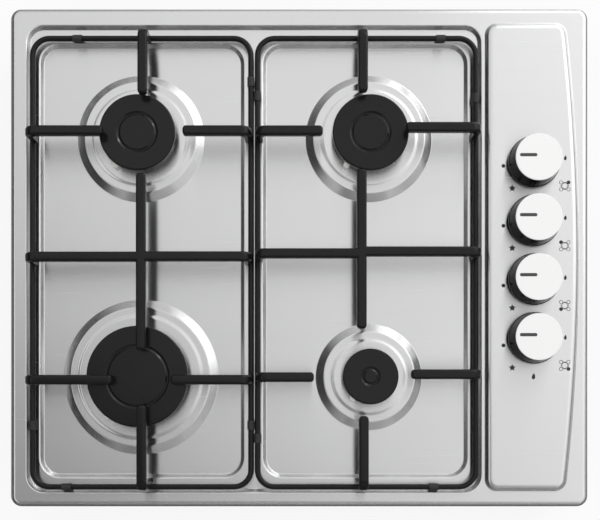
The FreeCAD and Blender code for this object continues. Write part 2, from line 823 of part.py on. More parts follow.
def make_bottom_casing():
    """A folded steel tray with an outward flange and a corner cut back for the gas inlet."""
    body = new_body("casing_tray")
    flange_x = casing_right + casing_flange
    flange_y = casing_back + casing_flange
    rounded_slab(body, "Pad", flange_under_level, casing_gauge,
                 (-flange_x, flange_x, -flange_y, flange_y),
                 casing_corner, None)
    notch_x = casing_right - notch_width
    notch_y = casing_back - notch_depth
    sketch = sketch_on(body, "XY_Plane")
    draw_outline(sketch, [(casing_left, -casing_back), (casing_right, -casing_back),
                          (casing_right, notch_y), (notch_x, notch_y),
                          (notch_x, casing_back), (casing_left, casing_back)])
    grow(body, "Pad", sketch, flange_under_level)
    sketch = sketch_on(body, "XY_Plane", flange_top_level)
    wall = casing_gauge
    draw_outline(sketch, [(casing_left + wall, wall - casing_back),
                          (casing_right - wall, wall - casing_back),
                          (casing_right - wall, notch_y - wall),
                          (notch_x - wall, notch_y - wall),
                          (notch_x - wall, casing_back - wall),
                          (casing_left + wall, casing_back - wall)])
    grow(body, "Pocket", sketch, flange_top_level - wall)
    outer_x = casing_right.number
    outer_y = casing_back.number
    half = flange_under_level / 2
    outside = [(-outer_x, -outer_y, half), (outer_x, -outer_y, half), (-outer_x, outer_y, half),
               (outer_x, notch_y, half), (notch_x, outer_y, half)]
    round_edges(body, edges_near(body.Tip, outside), casing_corner)
    half = (flange_top_level + wall) / 2
    inner_x = outer_x - wall.number
    inner_y = outer_y - wall.number
    inside = [(-inner_x, -inner_y, half), (inner_x, -inner_y, half), (-inner_x, inner_y, half),
              (inner_x, notch_y - wall, half), (notch_x - wall, inner_y, half)]
    round_edges(body, edges_near(body.Tip, inside), casing_corner - wall)

    vent_sketch = sketch_on(body, "XY_Plane", casing_gauge)
    middle = (left_burner_x + right_burner_x) / 2
    first_vent = middle - vent_pitch * (vent_count - 1) / 2
    draw_rectangle(vent_sketch, first_vent - vent_width / 2, first_vent + vent_width / 2,
                   -vent_length / 2, vent_length / 2)
    vent = grow(body, "Pocket", vent_sketch, None)
    row = body.newObject("PartDesign::LinearPattern", "Vents")
    row.Originals = [vent]
    row.Direction = (vent_sketch, ["H_Axis"])
    row.setExpression("Length", (vent_pitch * (vent_count - 1)).text)
    row.setExpression("Occurrences", vent_count.text)
    body.Tip = row
    doc.recompute()

    holes = []
    reach = casing_gauge * 4
    for x in (-clip_x, clip_x):
        for y in (-casing_back, casing_back):
            holes.append(cylinder("clip_screw_hole", screw_shank + hole_gap, reach,
                                  x, y - reach / 2, clip_screw_level, "Y"))
    holes.append(cylinder("inlet_hole", inlet_body + hole_gap, reach,
                          knob_x, notch_y - reach / 2, manifold_level, "Y"))
    holes.append(cylinder("cord_hole", terminal_entry, reach,
                          notch_x - reach / 2, notch_y + notch_depth / 2,
                          terminal_height / 2 + casing_gauge, "X"))
    keep(cut("bottom_casing", body, holes))


def make_gasket():
    """A foam strip under the casing's flange that seals the rim to the worktop."""
    body = new_body("worktop_gasket")
    inner_x = casing_right + hole_gap
    inner_y = casing_back + hole_gap
    rounded_slab(body, "Pad", worktop_level, flange_under_level - worktop_level,
                 (-(inner_x + gasket_width), inner_x + gasket_width,
                  -(inner_y + gasket_width), inner_y + gasket_width),
                 casing_corner + gasket_width, None)
    rounded_slab(body, "Pocket", flange_under_level, flange_under_level - worktop_level,
                 (-inner_x, inner_x, -inner_y, inner_y), casing_corner, None)
    keep(body)


def make_burner_rails():
    """Two steel channels on the casing floor that carry the burner cups' feet."""
    rails = []
    for x in (left_burner_x, right_burner_x):
        body = new_body("rail")
        sketch = sketch_on(body, "XZ_Plane")
        half = rail_width / 2
        bottom = casing_gauge
        top = cup_foot_level - rest_gap
        draw_outline(sketch, [(-half, bottom), (rail_gauge - half, bottom),
                              (rail_gauge - half, top - rail_gauge),
                              (half - rail_gauge, top - rail_gauge),
                              (half - rail_gauge, bottom), (half, bottom),
                              (half, top), (-half, top)])
        grow(body, "Pad", sketch, rail_length, midplane=True)
        rails.append(place(body, x, zero, zero))
    keep(group("burner_rails", rails))


# ------------------------------------------------------------------ burners

def make_cup(burner):
    """Cast aluminium cup: a flange under the top, a foot with the gas way, two bored ears."""
    body = new_body(burner.name + "_cup_casting")
    flange_top = collar_level - top_gauge - rest_gap
    flange_bottom = flange_top - flange_thick
    rim = crown_bottom_level - rest_gap
    outside = burner.cup
    inside = burner.cup - cup_wall
    flange = burner.hole + flange_width
    floor = cup_floor_level
    revolve(body, [(0, cup_foot_level), (cup_foot, cup_foot_level), (cup_foot, floor),
                   (outside, floor), (outside, flange_bottom), (flange, flange_bottom),
                   (flange, flange_top), (outside, flange_top), (outside, rim),
                   (inside, rim), (inside, floor + cup_wall), (0, floor + cup_wall)])
    sketch = sketch_on(body, "XY_Plane", flange_bottom)
    draw_circle(sketch, burner.igniter_x(), burner.igniter_y(), igniter_ear)
    grow(body, "Pad", sketch, flange_thick)
    sketch = sketch_on(body, "XY_Plane", flange_top)
    draw_circle(sketch, burner.igniter_x(), burner.igniter_y(), igniter_ceramic + hole_gap)
    for x, y in burner.screw_places():
        draw_circle(sketch, x, y, screw_shank + fit_gap)
    grow(body, "Pocket", sketch, flange_thick)
    sketch = sketch_on(body, "XY_Plane", floor + cup_wall)
    draw_circle(sketch, zero, zero, injector_stem + fit_gap)
    bore_depth = floor + cup_wall - pipe_level + pipe_bore
    grow(body, "Pocket", sketch, bore_depth)
    place(body, burner.x, burner.y, zero)
    gas_way = cylinder("gas_way", pipe_outside + fit_gap, cup_foot,
                       burner.x + cup_foot - pipe_socket, burner.y, pipe_level, "X")
    narrow_way = cylinder("narrow_way", pipe_bore, cup_foot, burner.x, burner.y,
                          pipe_level, "X")
    keep(cut(burner.name + "_cup", body, [gas_way, narrow_way]))


def make_crown(burner):
    """Flame spreader: a ring of ports round a mixing tube, spigoted into the cup."""
    body = new_body(burner.name + "_crown")
    bottom = crown_bottom_level
    top = crown_top_level
    outer = burner.crown
    inner = burner.crown - crown_wall
    tube = burner.mixing
    spigot = burner.cup - cup_wall - hole_gap
    revolve(body, [(tube, bottom - mixing_drop), (tube + mixing_wall, bottom - mixing_drop),
                   (tube + mixing_wall, bottom),
                   (spigot - mixing_wall, bottom), (spigot - mixing_wall, bottom - mixing_rise),
                   (spigot, bottom - mixing_rise), (spigot, bottom), (outer, bottom),
                   (outer, top), (inner, top), (inner, bottom + crown_floor),
                   (tube + mixing_wall, bottom + crown_floor),
                   (tube + mixing_wall, bottom + crown_floor + mixing_rise),
                   (tube, bottom + crown_floor + mixing_rise)])
    sketch = sketch_on(body, "XY_Plane", top)
    draw_rectangle(sketch, inner - port_width, outer + port_width,
                   -port_width / 2, port_width / 2)
    port = grow(body, "Pocket", sketch, port_depth)
    ports = body.newObject("PartDesign::PolarPattern", "Ports")
    ports.Originals = [port]
    ports.Axis = (sketch, ["N_Axis"])
    ports.Angle = 360
    ports.setExpression("Occurrences", burner.ports.text)
    body.Tip = ports
    doc.recompute()
    keep(place(body, burner.x, burner.y, zero))


def make_cap(burner):
    """Enamelled steel cap: flat, with a pressed ring groove and a locating skirt below."""
    body = new_body(burner.name + "_cap")
    top = cap_top_level
    under = cap_under_level
    skirt_out = burner.crown - crown_wall - hole_gap
    skirt_in = skirt_out - cup_wall
    groove_out = burner.groove
    groove_in = burner.groove - groove_width
    revolve(body, [(0, under), (skirt_in, under), (skirt_in, under - cap_locating_depth),
                   (skirt_out, under - cap_locating_depth), (skirt_out, under),
                   (burner.cap, under), (burner.cap, top), (groove_out, top),
                   (groove_out - groove_slant, top - groove_depth),
                   (groove_in + groove_slant, top - groove_depth), (groove_in, top), (0, top)])
    names = []
    for index, edge in enumerate(body.Tip.Shape.Edges):
        if hasattr(edge.Curve, "Radius") and abs(edge.Curve.Center.z - top.number) < edge_search:
            if abs(edge.Curve.Radius - burner.cap.number) < edge_search:
                names.append("Edge%d" % (index + 1))
    round_edges(body, names, cap_edge_roll)
    keep(place(body, burner.x, burner.y, zero))


def make_igniter(burner):
    """A spark electrode: a collared ceramic with a steel pin in its top."""
    body = new_body(burner.name + "_igniter_ceramic")
    collar_top = collar_level - top_gauge - rest_gap * 2 - flange_thick
    pin_bottom = igniter_top - igniter_pin_depth
    revolve(body, [(0, igniter_bottom), (igniter_ceramic, igniter_bottom),
                   (igniter_ceramic, collar_top - flange_thick),
                   (igniter_collar, collar_top - flange_thick), (igniter_collar, collar_top),
                   (igniter_ceramic, collar_top), (igniter_ceramic, igniter_top - igniter_pin),
                   (igniter_ceramic - igniter_pin, igniter_top), (igniter_pin, igniter_top),
                   (igniter_pin, pin_bottom), (0, pin_bottom)])
    x = burner.x + burner.igniter_x()
    y = burner.y + burner.igniter_y()
    place(body, x, y, zero)
    pin = cylinder("igniter_pin", igniter_pin, igniter_pin_depth + igniter_pin_height, x, y,
                   pin_bottom)
    keep(group(burner.name + "_igniter", [body, pin]))


def make_injectors():
    """Brass jets with a hexagonal head, screwed into the middle of each cup."""
    seat = cup_floor_level + cup_wall
    jets = []
    for burner in burners:
        head = doc.addObject("Part::Prism", "injector_head")
        head.Polygon = 6
        head.setExpression("Circumradius", injector_head.text)
        head.setExpression("Height", injector_head_height.text)
        place(head, burner.x, burner.y, seat)
        stem = cylinder("injector_stem", injector_stem, injector_stem_length,
                        burner.x, burner.y, seat - injector_stem_length)
        whole = fuse("injector_blank", [head, stem])
        feed = cylinder("injector_feed", injector_bore, injector_stem_length * 2,
                        burner.x, burner.y, seat - injector_stem_length * 2)
        orifice = cylinder("injector_orifice", injector_orifice, injector_stem_length * 2,
                           burner.x, burner.y, seat - injector_stem_length)
        jets.append(cut("injector", whole, [feed, orifice]))
    keep(group("injectors", jets))


# ------------------------------------------------------------------ gas pipes and leads

def rounded_path(points, bend):
    """Straight runs joined by tangent arcs of one radius; points are vectors."""
    edges = []
    start = points[0]
    for before, corner, after in zip(points, points[1:], points[2:]):
        into = (corner - before).normalize()
        out = (after - corner).normalize()
        half_turn = into.getAngle(out) / 2
        trim = bend * math.tan(half_turn)
        arc_start = corner - into * trim
        arc_end = corner + out * trim
        to_centre = (out - into).normalize()
        middle = corner + to_centre * (bend / math.cos(half_turn) - bend)
        edges.append(Part.LineSegment(start, arc_start).toShape())
        edges.append(Part.Arc(arc_start, middle, arc_end).toShape())
        start = arc_end
    edges.append(Part.LineSegment(start, points[-1]).toShape())
    return Part.Wire(edges)


def tube(points, bend, outside, bore=0.0):
    """A round tube along a rounded path, hollow where a bore is given."""
    path = rounded_path(points, bend)
    heading = points[1] - points[0]

    def sweep(radius):
        ring = Part.Wire([Part.Circle(points[0], heading, radius).toShape()])
        return path.makePipeShell([ring], True, False)

    solid = sweep(outside)
    if bore:
        solid = solid.cut(sweep(bore))
    if solid.ShapeType == "Compound" and len(solid.Solids) == 1:
        solid = solid.Solids[0]
    return solid


def shaped(name, shape):
    """A piece whose shape comes from Part's own functions."""
    item = doc.addObject("Part::Feature", name)
    item.Shape = shape
    item.Label = name
    item.Placement = Placement()
    return item


def tap_outlet_x():
    return knob_x - tap_block / 2 - tap_nozzle_length


def make_feed_pipes():
    """Aluminium pipes from each tap's nozzle to its burner cup, all at one level."""
    pipes = []
    for index, name in enumerate(knob_order):
        burner = burner_named[name]
        z = pipe_level.number
        start_x = (tap_outlet_x() + pipe_socket - rest_gap).number
        end_x = (burner.x + cup_foot - pipe_socket + rest_gap).number
        start_y = knob_y(index).number
        end_y = burner.y.number
        shift = abs(end_y - start_y)
        turn_x = (burner.x + burner.crown).number + pipe_bend.number
        points = [Vector(start_x, start_y, z), Vector(turn_x + shift, start_y, z),
                  Vector(turn_x, end_y, z), Vector(end_x, end_y, z)]
        solid = tube(points, pipe_bend.number, pipe_outside.number, pipe_bore.number)
        pipes.append(shaped("feed_pipe", solid))
    keep(group("feed_pipes", pipes))


def nipple_y(index):
    """Where one of the generator's lead nipples stands in its row."""
    return generator_y + lead_pitch * (index - (len(burners) - 1) / 2)


def make_ignition_leads():
    """High-voltage leads clipped along the casing floor from the generator to each igniter."""
    leads = []
    order = ["rear_right", "front_right", "rear_left", "front_left"]
    for index, name in enumerate(order):
        burner = burner_named[name]
        goal_x = (burner.x + burner.igniter_x()).number
        goal_y = (burner.y + burner.igniter_y()).number
        z = lead_level.number
        start_x = (generator_x - generator_width / 2 - nipple_length - rest_gap).number
        start_y = nipple_y(index).number
        end_z = (igniter_bottom - rest_gap).number
        lane = goal_x
        if name.startswith("front"):
            lane = (burner.x - rail_width / 2 - lead_beside_rail).number
        points = [Vector(start_x, start_y, z), Vector(lane, start_y, z)]
        if lane != goal_x:
            points.append(Vector(lane, goal_y, z))
        points += [Vector(goal_x, goal_y, z), Vector(goal_x, goal_y, end_z)]
        solid = tube(points, lead_bend.number, lead_radius.number)
        leads.append(shaped("ignition_lead", solid))
    keep(group("ignition_leads", leads))


# ------------------------------------------------------------------ pan supports

def make_ring(side, left, right):
    """The round rod frame: four straight rods and four quarter bends."""
    front = -ring_front
    back = ring_back
    pieces = []
    wide = right - left - ring_corner * 2
    deep = back - front - ring_corner * 2
    for y in (front, back):
        pieces.append(cylinder("rod", ring_rod, wide, left + ring_corner, y, ring_level, "X"))
    for x in (left, right):
        pieces.append(cylinder("rod", ring_rod, deep, x, front + ring_corner, ring_level, "Y"))
    corners = [(left + ring_corner, front + ring_corner, 180),
               (right - ring_corner, front + ring_corner, 270),
               (right - ring_corner, back - ring_corner, 0),
               (left + ring_corner, back - ring_corner, 90)]
    for x, y, turn in corners:
        bend = doc.addObject("Part::Torus", "bend")
        bend.setExpression("Radius1", ring_corner.text)
        bend.setExpression("Radius2", ring_rod.text)
        bend.Angle3 = 90
        pieces.append(place(bend, x, y, ring_level, turn))
    keep(fuse(side + "_support_ring", pieces))


def bar_body(name, reach, leg):
    """One square bar along +X from its rounded tip; with a leg it bends down onto the rod."""
    body = new_body(name)
    top = support_top_level
    under = support_top_level - bar_height
    sketch = sketch_on(body, "XZ_Plane")
    if leg:
        draw_outline(sketch, [(0, under), (reach - bar_height, under),
                              (reach - bar_height, ring_level), (reach, ring_level),
                              (reach, top), (0, top)])
    else:
        draw_rectangle(sketch, zero, reach, under, top)
    grow(body, "Pad", sketch, bar_width, midplane=True)
    if leg:
        round_edges(body, edges_near(body.Tip, [(reach, 0, top)]), bar_bend)
        round_edges(body, edges_near(body.Tip, [(reach - bar_height, 0, under)]),
                    bar_bend_inside)
        seat = sketch_on(body, "XZ_Plane")
        draw_circle(seat, reach - leg_outset, ring_level, ring_rod + fit_gap)
        grow(body, "Pocket", seat, None, midplane=True)
    return body


def finish_bar(body, tips):
    """Rounds a bar's tips in plan, then the long edges of its top."""
    middle = support_top_level - bar_height / 2
    half = bar_width / 2
    spots = []
    for x in tips:
        spots += [(x, -half, middle), (x, half, middle)]
    round_edges(body, edges_near(body.Tip, spots), bar_tip)
    round_edges(body, top_edges(body), bar_edge)
    return body


def top_edges(body):
    """The two long top edges of a bar, which the rounding then follows round its bend."""
    names = []
    half = bar_width.number / 2
    for index, edge in enumerate(body.Tip.Shape.Edges):
        box = edge.BoundBox
        level = abs(box.ZMin - support_top_level.number) < edge_search
        if level and abs(abs(box.Center.y) - half) < edge_search:
            if box.XLength > bar_tip.number:
                names.append("Edge%d" % (index + 1))
    return names


def make_fingers(side, left, right):
    """Nine bars: a spine, two half crossbars, and a finger towards each burner's side."""
    back = ring_back
    front = -ring_front
    half = bar_width / 2
    bars = []

    def finger(tip, rod, fixed, turn):
        reach = (rod - tip if turn in (0, 90) else tip - rod) + leg_outset
        body = finish_bar(bar_body(side + "_finger", reach, True), [0])
        if turn in (0, 180):
            bars.append(place(body, tip, fixed, zero, turn))
        else:
            bars.append(place(body, fixed, tip, zero, turn))

    tips = support_tips[side]
    lines = bar_lines[side]
    for name, rod, turn in (("rear_back", back, 90), ("front_front", front, 270),
                            ("rear_left", left, 180), ("rear_right", right, 0),
                            ("front_left", left, 180), ("front_right", right, 0)):
        finger(tips[name], rod, lines[name], turn)
    spine_x = lines["spine"]
    spine_reach = tips["spine_back"] - tips["spine_front"]
    spine = bar_body(side + "_spine", spine_reach, False)
    finish_bar(spine, [0, spine_reach])
    bars.append(place(spine, spine_x, tips["spine_front"], zero, 90))
    for name, rod, turn in (("cross_right", right, 0), ("cross_left", left, 180)):
        start = spine_x + half if turn == 0 else spine_x - half
        reach = (rod - start if turn == 0 else start - rod) + leg_outset
        body = bar_body(side + "_crossbar", reach, True)
        round_edges(body, top_edges(body), bar_edge)
        bars.append(place(body, start, lines[name], zero, turn))
    keep(group(side + "_support_fingers", bars))


# How far each bar's tip stands, as a coordinate of its own.
support_tips = {
    "left": {"rear_back": size("left_rear_back", 153.6),
             "front_front": size("left_front_front", -147.8),
             "rear_left": size("left_rear_left", -190.4),
             "rear_right": size("left_rear_right", -113.2),
             "front_left": size("left_front_left", -181.7),
             "front_right": size("left_front_right", -124.8),
             "spine_back": size("left_spine_back", 76.9),
             "spine_front": size("left_spine_front", -94.7)},
    "right": {"rear_back": size("right_rear_back", 155.5),
              "front_front": size("right_front_front", -158.4),
              "rear_left": size("right_rear_left", 22.7),
              "rear_right": size("right_rear_right", 103.3),
              "front_left": size("right_front_left", 14.1),
              "front_right": size("right_front_right", 108.1),
              "spine_back": size("right_spine_back", 80.8),
              "spine_front": size("right_spine_front", -74)},
}
# The line that each bar is welded on: x of the upright ones, y of those across.
bar_lines = {
    "left": {"rear_back": size("left_rear_back_x", -152), "spine": size("left_spine_x", -153.5),
             "front_front": size("left_front_front_x", -153),
             "rear_left": size("left_rear_left_y", 118),
             "rear_right": size("left_rear_right_y", 118),
             "cross_left": size("left_cross_left_y", -4.1),
             "cross_right": size("left_cross_right_y", -3.8),
             "front_left": size("left_front_left_y", -123.3),
             "front_right": size("left_front_right_y", -123.3)},
    "right": {"rear_back": size("right_rear_back_x", 61.6), "spine": size("right_spine_x", 60.4),
              "front_front": size("right_front_front_x", 62.4),
              "rear_left": size("right_rear_left_y", 117.9),
              "rear_right": size("right_rear_right_y", 121.2),
              "cross_left": size("right_cross_left_y", -0.9),
              "cross_right": size("right_cross_right_y", 0.9),
              "front_left": size("right_front_left_y", -120.8),
              "front_right": size("right_front_right_y", -118)},
}
left_feet = {"back_x": size("left_foot_back_x", -221), "front_x": size("left_foot_front_x", -232),
             "left_y": size("left_foot_left_y", -168), "right_y": size("left_foot_right_y", 174),
             "low_right_y": size("left_foot_low_right_y", -168)}
right_feet = {"back_x": size("right_foot_back_x", 141), "front_x": size("right_foot_front_x", 134),
              "left_y": size("right_foot_left_y", 160), "right_y": size("right_foot_right_y", 158),
              "low_left_y": size("right_foot_low_left_y", -181)}
doc.recompute()


def make_foot(x, y, along):
    """A rubber sleeve on the rod with a pad below it that stands on the ledge."""
    half = foot_length / 2
    sleeve_radius = ring_rod + foot_sleeve
    pad_half = foot_pad_width / 2
    bottom = ledge_level + rest_gap
    if along == "X":
        sleeve = cylinder("sleeve", sleeve_radius, foot_length, x - half, y, ring_level, "X")
        pad = box("pad", x - half, x + half, y - pad_half, y + pad_half, bottom, ring_level)
        rod = cylinder("rod_way", ring_rod + fit_gap, foot_length * 2, x - foot_length, y,
                       ring_level, "X")
    else:
        sleeve = cylinder("sleeve", sleeve_radius, foot_length, x, y - half, ring_level, "Y")
        pad = box("pad", x - pad_half, x + pad_half, y - half, y + half, bottom, ring_level)
        rod = cylinder("rod_way", ring_rod + fit_gap, foot_length * 2, x, y - foot_length,
                       ring_level, "Y")
    return cut("foot", fuse("foot_blank", [sleeve, pad]), [rod])


def make_pan_supports():
    make_ring("left", left_ring_outer, left_ring_inner)
    make_ring("right", right_ring_inner, right_ring_outer)
    make_fingers("left", left_ring_outer, left_ring_inner)
    make_fingers("right", right_ring_inner, right_ring_outer)
    feet = left_feet
    keep(group("left_support_feet", [
        make_foot(feet["back_x"], ring_back, "X"),
        make_foot(feet["front_x"], -ring_front, "X"),
        make_foot(left_ring_outer, feet["left_y"], "Y"),
        make_foot(left_ring_inner, feet["right_y"], "Y"),
        make_foot(left_ring_inner, feet["low_right_y"], "Y")]))
    feet = right_feet
    keep(group("right_support_feet", [
        make_foot(feet["back_x"], ring_back, "X"),
        make_foot(feet["front_x"], -ring_front, "X"),
        make_foot(right_ring_inner, feet["left_y"], "Y"),
        make_foot(right_ring_inner, feet["low_left_y"], "Y"),
        make_foot(right_ring_outer, feet["right_y"], "Y")]))


# ------------------------------------------------------------------ taps and knobs

def make_tap(index):
    """Brass tap: block, barrel and outlet nozzle round a tapered seat and a spring chamber."""
    y = knob_y(index)
    name = "tap_%d" % (index + 1)
    half = tap_block / 2
    block = box("tap_block", knob_x - half, knob_x + half, y - half, y + half,
                tap_bottom, tap_shoulder)
    barrel = cylinder("tap_barrel", tap_barrel, tap_top - tap_shoulder, knob_x, y, tap_shoulder)
    spigot = cylinder("tap_spigot", tap_spigot, tap_spigot_length, knob_x, y,
                      tap_bottom - tap_spigot_length)
    nozzle = cylinder("tap_nozzle", tap_nozzle, tap_nozzle_length, tap_outlet_x(), y,
                      pipe_level, "X")
    bores = new_body(name + "_bores")
    gap = running_gap
    chamber_top = tap_top - neck_length
    revolve(bores, [(0, tap_bottom - tap_spigot_length * 2),
                    (plug_port, tap_bottom - tap_spigot_length * 2),
                    (plug_port, plug_bottom - gap), (plug_small + gap, plug_bottom - gap),
                    (plug_large + gap, plug_top), (spring_chamber, plug_top + gap),
                    (spring_chamber, chamber_top), (spindle_radius + gap, chamber_top),
                    (spindle_radius + gap, tap_top + neck_length), (0, tap_top + neck_length)])
    place(bores, knob_x, y, zero)
    outlet = cylinder("tap_outlet", pipe_bore, half + tap_nozzle_length, tap_outlet_x(), y,
                      pipe_level, "X")
    socket = cylinder("tap_socket", pipe_outside + fit_gap, pipe_socket * 2,
                      tap_outlet_x() - pipe_socket, y, pipe_level, "X")
    keep(cut(name + "_body", fuse(name + "_blank", [block, barrel, spigot, nozzle]),
             [bores, outlet, socket]))


def make_plug(index):
    """The tap's tapered rotor, with its gas way and a flat tang for the spindle."""
    y = knob_y(index)
    name = "tap_%d" % (index + 1)
    body = new_body(name + "_rotor")
    revolve(body, [(0, plug_bottom), (plug_small, plug_bottom), (plug_large, plug_top - fit_gap),
                   (0, plug_top - fit_gap)])
    sketch = sketch_on(body, "XY_Plane", plug_top - fit_gap)
    draw_rectangle(sketch, -tang_width / 2, tang_width / 2, -tang_thick / 2, tang_thick / 2)
    grow(body, "Pad", sketch, tang_height)
    place(body, knob_x, y, zero)
    up = cylinder("plug_way", plug_port, pipe_level - plug_bottom, knob_x, y,
                  plug_bottom)
    side = cylinder("plug_side_way", plug_port, plug_large * 2, knob_x, y, pipe_level, "Y")
    keep(cut(name + "_plug", body, [up, side]))


def make_spindle(index):
    """The spindle: slotted over the plug's tang, with a collar under the tap's neck."""
    y = knob_y(index)
    name = "tap_%d" % (index + 1)
    body = new_body(name + "_spindle")
    collar_top = tap_top - neck_length - rest_gap
    collar_bottom = collar_top - spindle_collar_height
    revolve(body, [(0, spindle_bottom), (spindle_radius, spindle_bottom),
                   (spindle_radius, collar_bottom), (spindle_collar, collar_bottom),
                   (spindle_collar, collar_top), (spindle_radius, collar_top),
                   (spindle_radius, spindle_top), (0, spindle_top)])
    sketch = sketch_on(body, "XY_Plane", spindle_bottom)
    slot_half = tang_thick / 2 + fit_gap
    draw_rectangle(sketch, -spindle_collar, spindle_collar, -slot_half, slot_half)
    slot_depth = plug_top + tang_height + push_travel + hole_gap - spindle_bottom
    grow(body, "Pocket", sketch, slot_depth, reverse=True)
    sketch = sketch_on(body, "XY_Plane", spindle_top)
    draw_rectangle(sketch, -spindle_collar, spindle_collar, spindle_flat, spindle_collar)
    grow(body, "Pocket", sketch, spindle_top - knob_hub_bottom() + push_travel)
    keep(place(body, knob_x, y, zero))


def knob_hub_bottom():
    return knob_top_level - disc_sunk - knob_wall - knob_hub_drop


def make_spring(index):
    """A steel return spring round the tang, drawn with twelve straight chords to a turn."""
    bottom = (plug_top + fit_gap + spring_wire / 2).number
    collar_bottom = tap_top - neck_length - rest_gap - spindle_collar_height
    top = (collar_bottom - fit_gap - spring_wire / 2).number
    chords = 12
    steps = round(chords * spring_turns.number)
    radius = spring_radius.number
    half = spring_wire.number / 2
    centre = Vector(knob_x.number, knob_y(index).number, 0)
    rings = []
    for step in range(steps + 1):
        angle = 2 * math.pi * step / chords
        rise = bottom + (top - bottom) * step / steps
        out = Vector(math.cos(angle), math.sin(angle), 0)
        middle = centre + out * radius + Vector(0, 0, rise)
        lift = Vector(0, 0, half)
        rings.append([middle - out * half - lift, middle + out * half - lift,
                      middle + out * half + lift, middle - out * half + lift])
    faces = []
    for low, high in zip(rings, rings[1:]):
        for side in range(4):
            after = (side + 1) % 4
            quad = [low[side], low[after], high[after], high[side]]
            faces.append(Part.Face(Part.makePolygon([quad[0], quad[1], quad[2], quad[0]])))
            faces.append(Part.Face(Part.makePolygon([quad[0], quad[2], quad[3], quad[0]])))
    for ring in (rings[0], rings[-1]):
        faces.append(Part.Face(Part.makePolygon(ring + [ring[0]])))
    solid = Part.Solid(Part.Shell(faces))
    solid.fix(0.001, 0.001, 0.001)
    if solid.Volume < 0:
        solid.reverse()
    keep(shaped("tap_%d_spring" % (index + 1), solid))


def make_knob(index):
    """The black skirt of a knob: a cone shell, banded at its foot, bored in its hub, with a
    shallow well in its top for the face's spigot."""
    y = knob_y(index)
    name = "knob_%d" % (index + 1)
    body = new_body(name + "_skirt_blank")
    bottom = knob_bottom_level
    top = knob_top_level - disc_sunk
    slope = (knob_base - knob_band_step - knob_top) / (knob_height - knob_band)
    waist = knob_base - knob_band_step
    top_radius = knob_top + slope * disc_sunk
    bore_top = spindle_top + fit_gap * 2
    well = disc_spigot + fit_gap
    well_level = top - disc_thick + disc_sunk
    revolve(body, [(0, well_level), (well, well_level), (well, top), (top_radius, top),
                   (waist, bottom + knob_band), (knob_base, bottom + knob_band),
                   (knob_base, bottom), (knob_base - knob_wall, bottom),
                   (top_radius - knob_crown_wall, top - disc_thick - knob_wall),
                   (knob_hub, top - disc_thick - knob_wall),
                   (knob_hub, knob_hub_bottom()), (0, knob_hub_bottom())])
    place(body, knob_x, y, zero)
    bore_bottom = knob_hub_bottom() - fit_gap
    bore = cylinder("knob_bore", spindle_radius + fit_gap, bore_top - bore_bottom, knob_x, y,
                    bore_bottom)
    keep(cut(name + "_skirt", body, [bore]))


def make_knob_disc(index):
    """The knob's glossy face: a lid on the skirt's top with a spigot below it and the
    pointer's round-ended recess, which points to the left."""
    y = knob_y(index)
    name = "knob_%d_disc" % (index + 1)
    body = new_body(name)
    top = knob_top_level
    bottom = top - disc_thick + fit_gap
    lid = top - disc_sunk + fit_gap
    revolve(body, [(0, bottom), (disc_spigot, bottom), (disc_spigot, lid), (disc_radius, lid),
                   (disc_radius, top), (0, top)])
    names = []
    for edge_index, edge in enumerate(body.Tip.Shape.Edges):
        if hasattr(edge.Curve, "Radius") and abs(edge.Curve.Center.z - top.number) < edge_search:
            names.append("Edge%d" % (edge_index + 1))
    round_edges(body, names, disc_edge)
    sketch = sketch_on(body, "XY_Plane", top)
    left = pointer_inset - disc_radius
    right = left + pointer_length
    draw_slot(sketch, left + pointer_width / 2, right - pointer_width / 2, pointer_width / 2)
    grow(body, "Pocket", sketch, pointer_depth)
    keep(place(body, knob_x, y, zero))


def draw_slot(sketch, left, right, radius):
    """A round-ended slot along X between two end centres on the X axis."""
    normal = Vector(0, 0, 1)
    turn = math.pi / 2
    low = -radius.number
    high = radius.number
    start = Vector(left.number, 0, 0)
    end = Vector(right.number, 0, 0)
    sketch.addGeometry(Part.LineSegment(Vector(left.number, low, 0),
                                        Vector(right.number, low, 0)), False)
    sketch.addGeometry(Part.ArcOfCircle(Part.Circle(end, normal, high), -turn, turn), False)
    sketch.addGeometry(Part.LineSegment(Vector(right.number, high, 0),
                                        Vector(left.number, high, 0)), False)
    sketch.addGeometry(Part.ArcOfCircle(Part.Circle(start, normal, high), turn, 3 * turn), False)
    for index in range(4):
        sketch.addConstraint(Sketcher.Constraint("Tangent", index, 2, (index + 1) % 4, 1))
    sketch.addConstraint(Sketcher.Constraint("Horizontal", 0))
    rule = sketch.addConstraint(Sketcher.Constraint("Radius", 1, high))
    sketch.renameConstraint(rule, "End")
    sketch.setExpression("Constraints.End", radius.text)
    pin_point(sketch, 1, 3, right, zero)
    pin_point(sketch, 3, 3, left, zero)


def make_knob_seals():
    """Rubber grommets in the panel round each spindle."""
    seals = []
    under = panel_level - top_gauge
    for index in range(len(knob_order)):
        y = knob_y(index)
        collar = cylinder("seal_collar", panel_hole - fit_gap, seal_drop + top_gauge + fit_gap,
                          knob_x, y, under - seal_drop)
        flange = cylinder("seal_flange", seal_flange, seal_height, knob_x, y,
                          panel_level + fit_gap)
        way = cylinder("seal_way", spindle_radius + hole_gap, knob_lift * 2, knob_x, y,
                       under - knob_lift)
        seals.append(cut("knob_seal", fuse("seal_blank", [collar, flange]), [way]))
    keep(group("knob_seals", seals))


